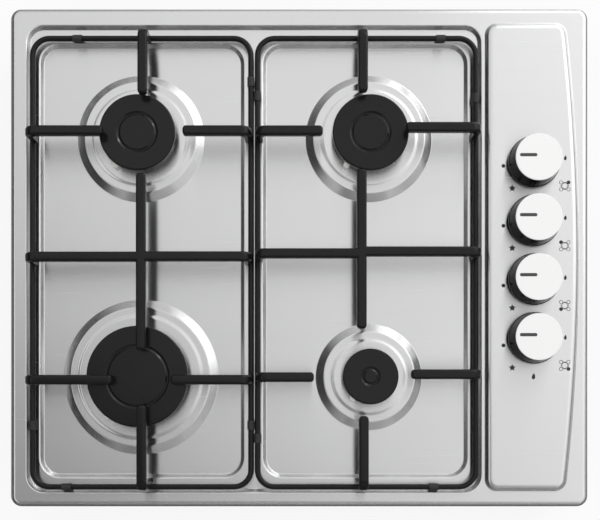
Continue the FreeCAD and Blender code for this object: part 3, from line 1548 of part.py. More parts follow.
def make_manifold():
    """The steel gas rail under the taps, closed at the front, with a hole for each tap."""
    start = -manifold_front
    end = casing_back - notch_depth - inlet_hex_height
    blank = cylinder("manifold_blank", manifold_outside, end - start, knob_x, start,
                     manifold_level, "Y")
    ways = [cylinder("manifold_way", manifold_bore, end - start, knob_x,
                     start + manifold_outside - manifold_bore, manifold_level, "Y")]
    for index in range(len(knob_order)):
        ways.append(cylinder("manifold_port", tap_spigot + fit_gap, manifold_outside * 2,
                             knob_x, knob_y(index), manifold_level))
    keep(cut("gas_manifold", blank, ways))


def make_gas_inlet():
    """The brass connector: a socket on the rail, a hexagon in the casing's corner, a thread."""
    wall = casing_back - notch_depth
    socket = cylinder("inlet_socket", inlet_body, inlet_socket + rest_gap,
                      knob_x, wall - inlet_socket, manifold_level, "Y")
    head = doc.addObject("Part::Prism", "inlet_head")
    head.Polygon = 6
    head.setExpression("Circumradius", inlet_hex.text)
    head.setExpression("Height", inlet_hex_height.text)
    place(head, knob_x, wall + rest_gap, manifold_level)
    head.Placement = Placement(head.Placement.Base, Rotation(Vector(1, 0, 0), -90))
    thread = cylinder("inlet_thread", thread_radius, thread_length, knob_x,
                      wall + rest_gap + inlet_hex_height, manifold_level, "Y")
    whole = fuse("inlet_blank", [socket, head, thread])
    seat = cylinder("inlet_seat", manifold_outside + fit_gap,
                    inlet_socket - inlet_hex_height + rest_gap,
                    knob_x, wall - inlet_socket, manifold_level, "Y")
    way_length = inlet_socket + rest_gap + inlet_hex_height + thread_length
    way = cylinder("inlet_way", manifold_bore, way_length, knob_x, wall - inlet_socket,
                   manifold_level, "Y")
    keep(cut("gas_inlet", whole, [seat, way]))


# ------------------------------------------------------------------ ignition and mains entry

def make_spark_generator():
    """A sealed plastic box on the casing floor with a lead nipple for each igniter."""
    half = generator_width / 2
    deep = generator_depth / 2
    bottom = casing_gauge + rest_gap / 2
    shell = new_body("generator_shell")
    sketch = sketch_on(shell, "XY_Plane", bottom)
    draw_rectangle(sketch, -half, half, -deep, deep)
    pad = grow(shell, "Pad", sketch, generator_height)
    round_edges(shell, upright_edges(pad), generator_corner)
    place(shell, generator_x, generator_y, zero)
    nipples = []
    for index in range(len(burners)):
        nipples.append(cylinder("nipple", nipple_radius, nipple_length + nipple_radius,
                                generator_x - half - nipple_length,
                                nipple_y(index), lead_level, "X"))
    keep(fuse("spark_generator", [shell] + nipples))


def make_terminal_block():
    """The mains terminal: a moulded block inside the corner with its cord entry."""
    wall = casing_right - notch_width - casing_gauge
    right = wall - rest_gap
    left = right - terminal_depth
    middle = casing_back - notch_depth / 2
    half = terminal_width / 2
    bottom = casing_gauge + rest_gap / 2
    block = box("terminal_blank", left, right, middle - half, middle + half,
                bottom, bottom + terminal_height)
    entry = cylinder("terminal_way", terminal_entry, terminal_entry_depth,
                     right - terminal_entry_depth, middle,
                     terminal_height / 2 + casing_gauge, "X")
    poles = []
    for index in (-1, 0, 1):
        poles.append(cylinder("terminal_screw_way", terminal_pole, terminal_pole_depth,
                              left + terminal_pole_inset, middle + terminal_pole_pitch * index,
                              bottom + terminal_height - terminal_pole_depth))
    keep(cut("terminal_block", block, [entry] + poles))


# ------------------------------------------------------------------ fixings

def make_fixing_clips():
    """Slotted steel clips on the front and back walls that grip the worktop from below."""
    clips = []
    for x in (-clip_x, clip_x):
        for back in (False, True):
            body = new_body("clip")
            inner = casing_back + rest_gap
            outer = inner + clip_gauge
            sketch = sketch_on(body, "YZ_Plane")
            draw_outline(sketch, [(inner, clip_top), (inner, clip_bottom),
                                  (outer + clip_foot, clip_bottom),
                                  (outer + clip_foot, clip_bottom + clip_gauge),
                                  (outer, clip_bottom + clip_gauge), (outer, clip_top)])
            grow(body, "Pad", sketch, clip_width, midplane=True)
            slot = sketch_on(body, "XZ_Plane")
            half = screw_shank + hole_gap
            draw_rectangle(slot, -half, half, clip_screw_level - clip_slot / 2,
                           clip_screw_level + clip_slot / 2)
            grow(body, "Pocket", slot, None, midplane=True)
            if back:
                clips.append(place(body, x, zero, zero))
            else:
                clips.append(place(body, x, zero, zero, 180))
    keep(group("fixing_clips", clips))


def make_screw(name, x, y, z, axis, away):
    """A pan-head screw whose head's underside is at x, y, z; away is its head's side."""
    body = new_body(name)
    revolve(body, [(0, -screw_length), (screw_shank, -screw_length), (screw_shank, 0),
                   (screw_head, 0), (screw_head, screw_head_height / 2),
                   (screw_head_crown, screw_head_height), (0, screw_head_height)])
    place(body, x, y, z)
    if axis == "Y":
        turn = Rotation(Vector(1, 0, 0), -90 * away)
        body.Placement = Placement(body.Placement.Base, turn)
    return body


def make_screws():
    """Pan-head screws: two hold each burner cup under the top, one holds each clip."""
    screws = []
    for burner in burners:
        for x, y in burner.screw_places():
            screws.append(make_screw("cup_screw", burner.x + x, burner.y + y,
                                     collar_level + rest_gap / 2, "Z", 1))
    seat = casing_back + rest_gap + clip_gauge + rest_gap / 2
    for x in (-clip_x, clip_x):
        screws.append(make_screw("clip_screw", x, seat, clip_screw_level, "Y", 1))
        screws.append(make_screw("clip_screw", x, -seat, clip_screw_level, "Y", -1))
    keep(group("pan_head_screws", screws))


# ------------------------------------------------------------------ build and write

make_hob_top()
make_bottom_casing()
make_gasket()
make_burner_rails()
for burner in burners:
    make_cup(burner)
    make_crown(burner)
    make_cap(burner)
    make_igniter(burner)
make_injectors()
make_feed_pipes()
make_pan_supports()
for index in range(len(knob_order)):
    make_tap(index)
    make_plug(index)
    make_spindle(index)
    make_spring(index)
    make_knob(index)
    make_knob_disc(index)
make_knob_seals()
make_manifold()
make_gas_inlet()
make_spark_generator()
make_ignition_leads()
make_terminal_block()
make_fixing_clips()
make_screws()

doc.recompute()
for item in doc.Objects:
    if "Invalid" in item.State or "Error" in item.State:
        raise RuntimeError("%s did not build: %s" % (item.Label, item.State))
for item in subparts:
    if item.Shape.isNull() or not item.Shape.isValid() or not item.Shape.Solids:
        raise RuntimeError(item.Label + " has no valid solid")

os.makedirs("parts", exist_ok=True)
for item in subparts:
    item.Shape.exportStep(os.path.join("parts", item.Label + ".step"))
print("%d sub-parts written" % len(subparts))
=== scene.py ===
"""The looks of a built-in gas cooktop with four burners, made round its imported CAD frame.

Lengths are metres. X runs to the right, to the knobs, Y to the back, and Z up.
"""
import math

import bmesh
import bpy
import numpy as np
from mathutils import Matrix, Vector, geometry


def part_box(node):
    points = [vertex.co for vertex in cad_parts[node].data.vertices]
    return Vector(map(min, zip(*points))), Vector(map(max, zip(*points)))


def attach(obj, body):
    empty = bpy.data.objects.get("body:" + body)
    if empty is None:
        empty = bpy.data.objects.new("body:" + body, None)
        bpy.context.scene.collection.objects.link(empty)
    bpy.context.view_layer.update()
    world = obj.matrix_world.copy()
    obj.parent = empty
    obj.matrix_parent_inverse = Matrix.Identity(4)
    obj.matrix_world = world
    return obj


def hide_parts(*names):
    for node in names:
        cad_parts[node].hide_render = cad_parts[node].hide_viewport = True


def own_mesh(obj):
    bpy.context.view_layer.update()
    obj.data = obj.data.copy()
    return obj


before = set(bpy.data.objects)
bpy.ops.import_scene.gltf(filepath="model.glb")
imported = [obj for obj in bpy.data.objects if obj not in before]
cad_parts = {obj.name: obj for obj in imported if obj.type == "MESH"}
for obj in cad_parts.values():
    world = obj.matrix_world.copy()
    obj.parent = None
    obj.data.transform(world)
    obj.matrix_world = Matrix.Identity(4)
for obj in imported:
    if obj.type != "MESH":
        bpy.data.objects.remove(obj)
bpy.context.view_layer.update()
mm = 0.001


# ---------------------------------------------------------------- studio
# A pale floor in a white room, a wide soft box low at the back right with its lamp showing in
# the middle, and dark cards, which only reflections meet: over the front left corner, in a
# curtain round the object, and flat on the floor.

bpy.context.scene.view_settings.view_transform = "Standard"


def join(tree, source, output, target, socket):
    """Links an output of one node to a socket of another."""
    tree.links.new(source.outputs[output], target.inputs[socket])


def add_node(tree, kind, **settings):
    """A node of a tree, with its plain settings."""
    item = tree.nodes.new(kind)
    for name, setting in settings.items():
        setattr(item, name, setting)
    return item


def seen_directly(tree):
    """One for rays from the camera, off metal or through glass, and nothing for others."""
    ray = add_node(tree, "ShaderNodeLightPath")
    camera_or_gloss = add_node(tree, "ShaderNodeMath", operation="MAXIMUM")
    join(tree, ray, "Is Camera Ray", camera_or_gloss, 0)
    join(tree, ray, "Is Glossy Ray", camera_or_gloss, 1)
    any_of_them = add_node(tree, "ShaderNodeMath", operation="MAXIMUM")
    join(tree, camera_or_gloss, "Value", any_of_them, 0)
    join(tree, ray, "Is Transmission Ray", any_of_them, 1)
    return any_of_them


room = bpy.data.worlds.new("studio")
bpy.context.scene.world = room
room.use_nodes = True
room_tree = room.node_tree
backdrop = add_node(room_tree, "ShaderNodeMix", data_type="RGBA")
backdrop.inputs["A"].default_value = (0.8, 0.8, 0.8, 1)
backdrop.inputs["B"].default_value = (1, 1, 1, 1)
join(room_tree, seen_directly(room_tree), "Value", backdrop, "Factor")
join(room_tree, backdrop, "Result", room_tree.nodes["Background"], "Color")


def hang_light(name, wide, high, power, bearing, elevation, distance):
    """A rectangular lamp that faces the object from a point on a sphere round it: distance
    times (cos e cos b, cos e sin b, sin e), with bearing b and elevation e in degrees."""
    lamp = bpy.data.lights.new(name, "AREA")
    lamp.shape = "RECTANGLE"
    lamp.size, lamp.size_y = wide, high
    lamp.energy = power
    light = bpy.data.objects.new(name, lamp)
    turn, tilt = math.radians(bearing), math.radians(elevation)
    light.location = distance * Vector((math.cos(tilt) * math.cos(turn),
                                        math.cos(tilt) * math.sin(turn), math.sin(tilt)))
    light.rotation_euler = (-light.location).to_track_quat("-Z", "Y").to_euler()
    bpy.context.collection.objects.link(light)


hang_light("soft_box", wide=2.5, high=1.2, power=12.5, bearing=45, elevation=28, distance=2.4)
hang_light("box_lamp", wide=0.3, high=0.3, power=5, bearing=52, elevation=30, distance=2.3)

floor_reach = 4.0
floor_mesh = bpy.data.meshes.new("floor")
floor_mesh.from_pydata([(-floor_reach, -floor_reach, 0), (floor_reach, -floor_reach, 0),
                        (floor_reach, floor_reach, 0), (-floor_reach, floor_reach, 0)],
                       [], [(0, 1, 2, 3)])
floor = bpy.data.objects.new("floor", floor_mesh)
bpy.context.collection.objects.link(floor)

# Seen directly, the paper shows mostly its own white, and little of the lamps' light on it.
paper = bpy.data.materials.new("white_paper")
paper.use_nodes = True
paper_tree = paper.node_tree
paper_shader = paper_tree.nodes["Principled BSDF"]
paper_shader.inputs["Base Color"].default_value = (0.92, 0.92, 0.92, 1)
paper_shader.inputs["Roughness"].default_value = 0.9
white = add_node(paper_tree, "ShaderNodeEmission")
share = add_node(paper_tree, "ShaderNodeMath", operation="MULTIPLY")
share.inputs[1].default_value = 0.85
join(paper_tree, seen_directly(paper_tree), "Value", share, 0)
blend = add_node(paper_tree, "ShaderNodeMixShader")
join(paper_tree, share, "Value", blend, "Fac")
join(paper_tree, paper_shader, "BSDF", blend, 1)
join(paper_tree, white, "Emission", blend, 2)
join(paper_tree, blend, "Shader", paper_tree.nodes["Material Output"], "Surface")
floor_mesh.materials.append(paper)

# A card is black cloth that only reflections meet; its shade runs from 0, clear, to 1.
cloth = bpy.data.materials.new("black_cloth")
cloth.use_nodes = True
cloth_tree = cloth.node_tree
cloth_tree.nodes.remove(cloth_tree.nodes["Principled BSDF"])
shade = add_node(cloth_tree, "ShaderNodeAttribute", attribute_name="shade")
gap = add_node(cloth_tree, "ShaderNodeBsdfTransparent")
dark = add_node(cloth_tree, "ShaderNodeEmission")
dark.inputs["Color"].default_value = (0.02, 0.02, 0.02, 1)
veil = add_node(cloth_tree, "ShaderNodeMixShader")
join(cloth_tree, shade, "Fac", veil, "Fac")
join(cloth_tree, gap, "BSDF", veil, 1)
join(cloth_tree, dark, "Emission", veil, 2)
join(cloth_tree, veil, "Shader", cloth_tree.nodes["Material Output"], "Surface")


def hang_card(name, grid, shades):
    """A card over a grid of points, with the shade of each."""
    rows, columns = shades.shape
    row, column = np.meshgrid(np.arange(rows - 1), np.arange(columns - 1), indexing="ij")
    first = row * columns + column
    faces = np.stack([first, first + 1, first + columns + 1, first + columns], -1)
    mesh = bpy.data.meshes.new(name)
    mesh.from_pydata(grid.reshape(-1, 3).tolist(), [], faces.reshape(-1, 4).tolist())
    mesh.attributes.new("shade", "FLOAT", "POINT").data.foreach_set("value", shades.ravel())
    mesh.materials.append(cloth)
    card = bpy.data.objects.new(name, mesh)
    bpy.context.collection.objects.link(card)
    card.visible_camera = False
    card.visible_diffuse = False
    card.visible_shadow = False


def ramp(value, low, high):
    """A smooth step from 0 at low to 1 at high: 3 s squared less 2 s cubed."""
    step = np.clip((value - low) / (high - low), 0, 1)
    return step * step * (3 - 2 * step)


# The card overhead darkens towards the front left, across a slanted edge, and clears again
# at its far left.
card_slant, card_height = 0.73, 2.0
over_x, over_y = np.meshgrid(np.linspace(-1.8, 1.4, 81), np.linspace(-2.2, 1.0, 81))
behind_edge = (card_slant * over_x + over_y) / math.hypot(card_slant, 1)
hang_card("card_overhead", np.stack([over_x, over_y, np.full_like(over_x, card_height)], -1),
          0.85 * ramp(behind_edge, -0.2, -0.75) * ramp(over_x, -1.6, -1.0))

# The curtain stands in a circle: dark at the left, half dark in front, and dark near the
# floor all round but at the lamps. Where these meet, what each lets through is multiplied.
curtain_reach = 2.6
left_bearing, front_bearing, lamp_bearing = 182, 285, 45
bearing, elevation = np.meshgrid(np.linspace(0, 360, 121), np.linspace(0, 52, 53))
at_left = 0.97 * ramp(np.abs(bearing - left_bearing), 95, 30) * ramp(elevation, 42, 30)
at_front = 0.6 * ramp(np.abs(bearing - front_bearing), 100, 50) * ramp(elevation, 46, 30)
low_band = 0.95 * ramp(np.abs(bearing - lamp_bearing), 20, 60) * ramp(elevation, 14, 8)
shades = 1 - (1 - at_left) * (1 - at_front) * (1 - low_band)
turn, tilt = np.radians(bearing), np.radians(elevation)
hang_card("card_curtain", np.stack([curtain_reach * np.cos(turn), curtain_reach * np.sin(turn),
                                    curtain_reach * np.tan(tilt)], -1), shades)

# The card on the floor starts under the object. It is darker in front, and clears outwards.
straight_ahead = 270
bearing, reach = np.meshgrid(np.linspace(0, 360, 121), np.linspace(0.2, 1.6, 8))
shades = 0.68 + 0.28 * ramp(np.abs(bearing - straight_ahead), 70, 35)
turn = np.radians(bearing)
hang_card("card_floor", np.stack([reach * np.cos(turn), reach * np.sin(turn),
                                  np.full_like(reach, mm)], -1), shades * ramp(reach, 1.6, 1.2))

# The camera hangs straight over the front half, 900 mm above the rim, as in the photograph:
# its foot is 7 pixels left of the picture's middle and 140 below it.
picture_width = 600
foot_left, foot_below = 7, 140
focal_pixels = 899
foot_x, foot_y, camera_height = -6.2 * mm, -142.95 * mm, 952 * mm
lens = bpy.data.cameras.new("camera")
lens.lens = focal_pixels / picture_width * lens.sensor_width
lens.shift_x = foot_left / picture_width
lens.shift_y = foot_below / picture_width
lens.clip_start = 0.01
camera = bpy.data.objects.new("camera", lens)
camera.location = (foot_x, foot_y, camera_height)
bpy.context.collection.objects.link(camera)
bpy.context.scene.camera = camera


# ---------------------------------------------------------------- pressed top
# One sheet of brushed stainless steel, 0.8 mm thick, pressed to a rolled edge, a recess for
# the pan supports, two wells, four domes and the raised panel; it rests on the casing.

def arcs_loop(arcs):
    """A closed loop, counter-clockwise, and its outward normals.

    Each arc (x, y, radius, first angle, last angle, steps) gives the points x + r cos a,
    y + r sin a; the straight sides are the gaps between one arc and the next.
    """
    points, normals = [], []
    for x, y, radius, first, last, steps in arcs:
        angle = np.radians(np.linspace(first, last, steps + 1))
        normal = np.stack([np.cos(angle), np.sin(angle)], 1)
        points.append(np.array((x, y)) + radius * normal)
        normals.append(normal)
    return np.concatenate(points), np.concatenate(normals)


def rounded(left, right, front, back, corner, steps=10):
    """A rectangle's loop with round corners: four quarter arcs, each set in by its radius."""
    return arcs_loop([(right - corner, front + corner, corner, -90, 0, steps),
                      (right - corner, back - corner, corner, 0, 90, steps),
                      (left + corner, back - corner, corner, 90, 180, steps),
                      (left + corner, front + corner, corner, 180, 270, steps)])


def circle(x, y, radius, steps=128):
    """A circle's loop: even steps of one turn."""
    angle = 2 * np.pi * np.arange(steps) / steps
    normal = np.stack([np.cos(angle), np.sin(angle)], 1)
    return np.array((x, y)) + radius * normal, normal


def inset(loop, distance):
    """The loop moved inwards along its own normals."""
    points, normals = loop
    return points - distance * normals, normals


def soften(corners, radii, steps=7, hold=0.25 * mm):
    """A profile through corners, each replaced by an arc that touches both of its sides.

    The first and last corners stay, and the radii belong to those between. The arc's ends
    lie radius / tan(half the corner's angle) from the corner. A point held just past each
    end, on the straight, keeps the flat beside it flat in its shading.
    """
    corners = [np.array(corner, float) for corner in corners]
    profile = [corners[0]]
    for before, corner, after, radius in zip(corners, corners[1:], corners[2:], radii):
        back = (before - corner) / np.linalg.norm(before - corner)
        ahead = (after - corner) / np.linalg.norm(after - corner)
        half = math.acos(np.clip(back @ ahead, -1, 1)) / 2
        reach = radius / math.tan(half)
        middle = (back + ahead) / np.linalg.norm(back + ahead)
        centre = corner + middle * radius / math.sin(half)
        start = corner + back * reach - centre
        end = corner + ahead * reach - centre
        share = np.linspace(0, 1, steps + 1)[:, None]
        turn = math.pi - 2 * half
        arc = (np.sin((1 - share) * turn) * start + np.sin(share * turn) * end) / math.sin(turn)
        profile += [corner + back * (reach + hold), *(centre + arc),
                    corner + ahead * (reach + hold)]
    profile.append(corners[-1])
    return np.array(profile)


def wall(outer_level, inner_level, slope, outer_bend, inner_bend, margin=0.6 * mm):
    """A sloping wall from the level outside a loop to the level inside it.

    Its run is the rise divided by the slope's tangent. Both bends are rounded, and a margin
    of flat leads in and out. Offsets count inwards from the wall's outer line.
    """
    run = abs(inner_level - outer_level) / math.tan(math.radians(slope))
    lead = outer_bend * math.tan(math.radians(slope / 2)) + margin
    follow = inner_bend * math.tan(math.radians(slope / 2)) + margin
    return soften([(-lead, outer_level), (0, outer_level), (run, inner_level),
                   (run + follow, inner_level)], [outer_bend, inner_bend])


def grid_faces(rows, columns):
    """Four-sided faces between neighbouring rows, whose last column meets the first."""
    row, column = np.meshgrid(np.arange(rows - 1), np.arange(columns), indexing="ij")
    beside = (column + 1) % columns
    corners = [row * columns + column, row * columns + beside,
               (row + 1) * columns + beside, (row + 1) * columns + column]
    return np.stack(corners, -1).reshape(-1, 4).tolist()


def carry(loop, profile):
    """Carries a profile round a loop: each of its points (offset, height) is the whole loop
    moved inwards by the offset, at that height."""
    points, normals = loop
    rings = points[None] - profile[:, :1, None] * normals[None]
    heights = np.broadcast_to(profile[:, 1:, None], rings.shape[:2] + (1,))
    grid = np.concatenate([rings, heights], 2)
    return grid.reshape(-1, 3), grid_faces(*rings.shape[:2])


def flat(height, outer, holes=()):
    """A level face inside one loop and outside others."""
    loops = [outer[0]] + [hole[0] for hole in holes]
    lines = [[Vector((x, y, 0)) for x, y in loop] for loop in loops]
    points = np.concatenate(loops)
    corners = np.array(geometry.tessellate_polygon(lines))
    a, b, c = (points[corners[:, index]] for index in range(3))
    cross = (b[:, 0] - a[:, 0]) * (c[:, 1] - a[:, 1]) - (b[:, 1] - a[:, 1]) * (c[:, 0] - a[:, 0])
    corners[cross < 0] = corners[cross < 0][:, ::-1]
    vertices = np.column_stack([points, np.full(len(points), height)])
    return vertices, corners.tolist()


def make_piece(name, patches, material=None, body="cooktop", replaces=()):
    """One mesh object from patches of points and faces, with their seams merged.

    Edges over 40 degrees are sharp. So are the free edges round holes, because a thickness
    added later would otherwise bend the shading of the flat beside them.
    """
    merge_gap, least_edge, sharp_angle = 1e-6, 1e-7, 40
    points, faces, first = [], [], 0
    for patch_points, patch_faces in patches:
        points.append(patch_points)
        faces += [[first + corner for corner in face] for face in patch_faces]
        first += len(patch_points)
    mesh = bpy.data.meshes.new(name)
    mesh.from_pydata(np.concatenate(points).tolist(), [], faces)
    work = bmesh.new()
    work.from_mesh(mesh)
    bmesh.ops.remove_doubles(work, verts=work.verts, dist=merge_gap)
    bmesh.ops.dissolve_degenerate(work, edges=work.edges, dist=least_edge)
    work.edges.index_update()
    free_edges = [edge.index for edge in work.edges if edge.is_boundary]
    work.to_mesh(mesh)
    work.free()
    mesh.shade_smooth()
    mesh.set_sharp_from_angle(angle=math.radians(sharp_angle))
    for index in free_edges:
        mesh.edges[index].use_edge_sharp = True
    piece = bpy.data.objects.new(name, mesh)
    bpy.context.collection.objects.link(piece)
    if material:
        mesh.materials.append(material)
    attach(piece, body)
    if replaces:
        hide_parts(*replaces)
    return piece


sheet = 0.8 * mm
skirt_foot, rim, ledge, well_floor = 42.8 * mm, 52 * mm, 48 * mm, 44 * mm
bend, outside_bend, wall_slope = 1.2 * mm, 2 * mm, 50
plate_corner, edge_roll, edge_margin = 10.8 * mm, 6 * mm, 0.6 * mm
plate_low, plate_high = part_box("hob_top")
plate = rounded(plate_low.x, plate_high.x, plate_low.y, plate_high.y, plate_corner)
edge = soften([(0, skirt_foot), (0, rim), (edge_roll + edge_margin, rim)], [edge_roll], 10)

recess = rounded(left=-273.1 * mm, right=182.5 * mm, front=-235.5 * mm, back=232.3 * mm,
                 corner=17 * mm)
recess_wall = wall(rim, ledge, wall_slope, outside_bend, bend)
wells = [rounded(left, right, front=-221.1 * mm, back=215.2 * mm, corner=20 * mm)
         for left, right in ((-260.8 * mm, -55.3 * mm), (-36.6 * mm, 169.5 * mm))]
well_wall = wall(ledge, well_floor, wall_slope, outside_bend, bend)

dome_rise, dome_slope, dome_roll = 5.5 * mm, 34, 3 * mm
collar_rise, collar_slope, collar_bend, collar_inset = 1 * mm, 20, 6 * mm, 15 * mm
dome_reach = {"rear_left": 63.8 * mm, "front_left": 78 * mm,
              "rear_right": 63.8 * mm, "front_right": 53.5 * mm}
burner_names = list(dome_reach)
dome_top = well_floor + dome_rise
dome_wall = wall(well_floor, dome_top, dome_slope, bend, dome_roll)
collar_wall = wall(dome_top, dome_top + collar_rise, collar_slope, collar_bend, collar_bend)
collar_wall[:, 0] += collar_inset

panel_rise, panel_roll, panel_corner, panel_bow = 4.5 * mm, 7 * mm, 12 * mm, 2045 * mm
panel_left, panel_right, panel_reach = 185.8 * mm, 279.9 * mm, 234 * mm
panel_level = rim + panel_rise
bow_centre = panel_right - panel_bow
corner_y = panel_reach - panel_corner
corner_x = bow_centre + math.sqrt((panel_bow - panel_corner) ** 2 - corner_y ** 2)
bow_angle = math.degrees(math.atan2(corner_y, corner_x - bow_centre))
inner_x = panel_left + panel_corner
panel = arcs_loop([(corner_x, -corner_y, panel_corner, -90, -bow_angle, 10),
                   (bow_centre, 0, panel_bow, -bow_angle, bow_angle, 40),
                   (corner_x, corner_y, panel_corner, bow_angle, 90, 10),
                   (inner_x, corner_y, panel_corner, 90, 180, 10),
                   (inner_x, -corner_y, panel_corner, 180, 270, 10)])
panel_wall = wall(rim, panel_level, wall_slope, bend, panel_roll)


def middle_of(node):
    """The middle of a CAD node's box, seen from above."""
    low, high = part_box(node)
    return (low.x + high.x) / 2, (low.y + high.y) / 2


def half_width(node):
    """Half the width of a CAD node's box: the radius of a turned piece."""
    low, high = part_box(node)
    return (high.x - low.x) / 2


knob_places = [middle_of("knob_%d_disc" % number) for number in (1, 2, 3, 4)]
spindle_hole, electrode_hole, crown_seat = 7 * mm, 3.5 * mm, 8 * mm
patches = [carry(plate, edge),
           flat(rim, inset(plate, edge[-1, 0]),
                [inset(recess, recess_wall[0, 0]), inset(panel, panel_wall[0, 0])]),
           carry(recess, recess_wall),
           flat(ledge, inset(recess, recess_wall[-1, 0]),
                [inset(well, well_wall[0, 0]) for well in wells]),
           carry(panel, panel_wall),
           flat(panel_level, inset(panel, panel_wall[-1, 0]),
                [circle(x, y, spindle_hole, 48) for x, y in knob_places])]
for well, names in zip(wells, (burner_names[:2], burner_names[2:])):
    domes = [circle(*middle_of(name + "_cap"), dome_reach[name]) for name in names]
    patches += [carry(well, well_wall),
                flat(well_floor, inset(well, well_wall[-1, 0]),
                     [inset(dome, dome_wall[0, 0]) for dome in domes])]
    for name, dome in zip(names, domes):
        x, y = middle_of(name + "_cap")
        crown_hole = half_width(name + "_crown") - crown_seat
        tip_x, tip_y = middle_of(name + "_igniter")
        patches += [carry(dome, dome_wall),
                    flat(dome_top, inset(dome, dome_wall[-1, 0]),
                         [inset(dome, collar_wall[0, 0])]),
                    carry(dome, collar_wall),
                    flat(dome_top + collar_rise, inset(dome, collar_wall[-1, 0]),
                         [circle(x, y, crown_hole, 96),
                          circle(tip_x, tip_y, electrode_hole, 32)])]

top = make_piece("pressed_top", patches, replaces=["hob_top"])
thickness = top.modifiers.new("sheet_thickness", "SOLIDIFY")
thickness.thickness = sheet
thickness.offset = -1
thickness.use_even_offset = True

# The sheet was brushed along X before it was pressed, so its map's two numbers are x and y.
# Each has a fiftieth of the height added, so that the map of an upright wall has some width.
height_share = 0.02
grain_map = top.data.uv_layers.new(name="grain")
corner_vertex = np.zeros(len(top.data.loops), np.int32)
top.data.loops.foreach_get("vertex_index", corner_vertex)
place = np.zeros(len(top.data.vertices) * 3)
top.data.vertices.foreach_get("co", place)
place = place.reshape(-1, 3)[corner_vertex]
grain = place[:, :2] + height_share * place[:, 2:]
grain_map.data.foreach_set("uv", grain.ravel())


def new_group(name, inputs, outputs):
    """A shader node group with named float inputs and typed outputs."""
    group = bpy.data.node_groups.new(name, "ShaderNodeTree")
    for label, value in inputs.items():
        socket = group.interface.new_socket(label, in_out="INPUT", socket_type="NodeSocketFloat")
        socket.default_value = value
    for label, kind in outputs.items():
        group.interface.new_socket(label, in_out="OUTPUT", socket_type="NodeSocket" + kind)
    return group, group.nodes.new("NodeGroupInput"), group.nodes.new("NodeGroupOutput")


def end_in_bump(group, given, noise, result, mask):
    """Puts out a noise as a mask and as the normal of a skin up to 0.2 mm times Depth high."""
    bump = add_node(group, "ShaderNodeBump")
    bump.inputs["Distance"].default_value = 0.0002
    join(group, given, "Depth", bump, "Strength")
    join(group, noise, "Fac", bump, "Height")
    join(group, noise, "Fac", result, mask)
    join(group, bump, "Normal", result, "Normal")
    return group


def brushed_lines_group():
    """Brushed lines: noise read at x times Along, y and z times Across, as value and normal."""
    group, given, result = new_group(
        "brushed_lines", {"Along": 8.0, "Across": 900.0, "Depth": 0.1},
        {"Streak": "Float", "Normal": "Vector"})
    coordinates = add_node(group, "ShaderNodeTexCoord")
    scale = add_node(group, "ShaderNodeCombineXYZ")
    join(group, given, "Along", scale, "X")
    join(group, given, "Across", scale, "Y")
    join(group, given, "Across", scale, "Z")
    stretch = add_node(group, "ShaderNodeVectorMath", operation="MULTIPLY")
    join(group, coordinates, "Object", stretch, 0)
    join(group, scale, "Vector", stretch, 1)
    noise = add_node(group, "ShaderNodeTexNoise")
    noise.inputs["Scale"].default_value = 1.0
    noise.inputs["Detail"].default_value = 3.0
    join(group, stretch, "Vector", noise, "Vector")
    return end_in_bump(group, given, noise, result, "Streak")


def fine_skin_group():
    """Even grain: noise read at one Scale, as a value and as the normal of a fine skin."""
    group, given, result = new_group(
        "fine_skin", {"Scale": 900.0, "Depth": 0.1}, {"Speckle": "Float", "Normal": "Vector"})
    coordinates = add_node(group, "ShaderNodeTexCoord")
    noise = add_node(group, "ShaderNodeTexNoise")
    noise.inputs["Detail"].default_value = 2.0
    join(group, coordinates, "Object", noise, "Vector")
    join(group, given, "Scale", noise, "Scale")
    return end_in_bump(group, given, noise, result, "Speckle")


brushed_lines = brushed_lines_group()
fine_skin = fine_skin_group()


def finish(name, group, settings, mask, dark, light, smooth, rough, **fixed):
    """A Principled finish whose colour and roughness run between two values with a group's
    mask, and whose normal is the group's; the other sockets hold plain values."""
    material = bpy.data.materials.new(name)
    material.use_nodes = True
    tree = material.node_tree
    shader = tree.nodes["Principled BSDF"]
    skin = add_node(tree, "ShaderNodeGroup", node_tree=group)
    for label, value in settings.items():
        skin.inputs[label].default_value = value
    tone = add_node(tree, "ShaderNodeMix", data_type="RGBA")
    tone.inputs["A"].default_value = (*dark, 1)
    tone.inputs["B"].default_value = (*light, 1)
    join(tree, skin, mask, tone, "Factor")
    join(tree, tone, "Result", shader, "Base Color")
    polish = add_node(tree, "ShaderNodeMapRange")
    polish.inputs["To Min"].default_value = smooth
    polish.inputs["To Max"].default_value = rough
    join(tree, skin, mask, polish, "Value")
    join(tree, polish, "Result", shader, "Roughness")
    join(tree, skin, "Normal", shader, "Normal")
    for label, value in fixed.items():
        shader.inputs[label.replace("_", " ")].default_value = value
    return material


steel = finish("brushed_stainless", brushed_lines, {"Along": 5, "Across": 1500, "Depth": 0.012},
               "Streak", (0.72, 0.72, 0.725), (0.78, 0.78, 0.785), smooth=0.245, rough=0.285,
               Metallic=1.0, Anisotropic=1.0)

# A quarter turn stretches the steel's highlights across the brushing.
tangent = add_node(steel.node_tree, "ShaderNodeTangent", direction_type="UV_MAP",
                   uv_map="grain")
steel_shader = steel.node_tree.nodes["Principled BSDF"]
steel_shader.inputs["Anisotropic Rotation"].default_value = 0.25
join(steel.node_tree, tangent, "Tangent", steel_shader, "Tangent")
top.data.materials.append(steel)


# ---------------------------------------------------------------- signs on the panel
# Black ink printed on the steel: at each knob an off dot, a spark star, a small and a large
# flame, and four rings round a fifth, with the ring of this knob's burner filled.

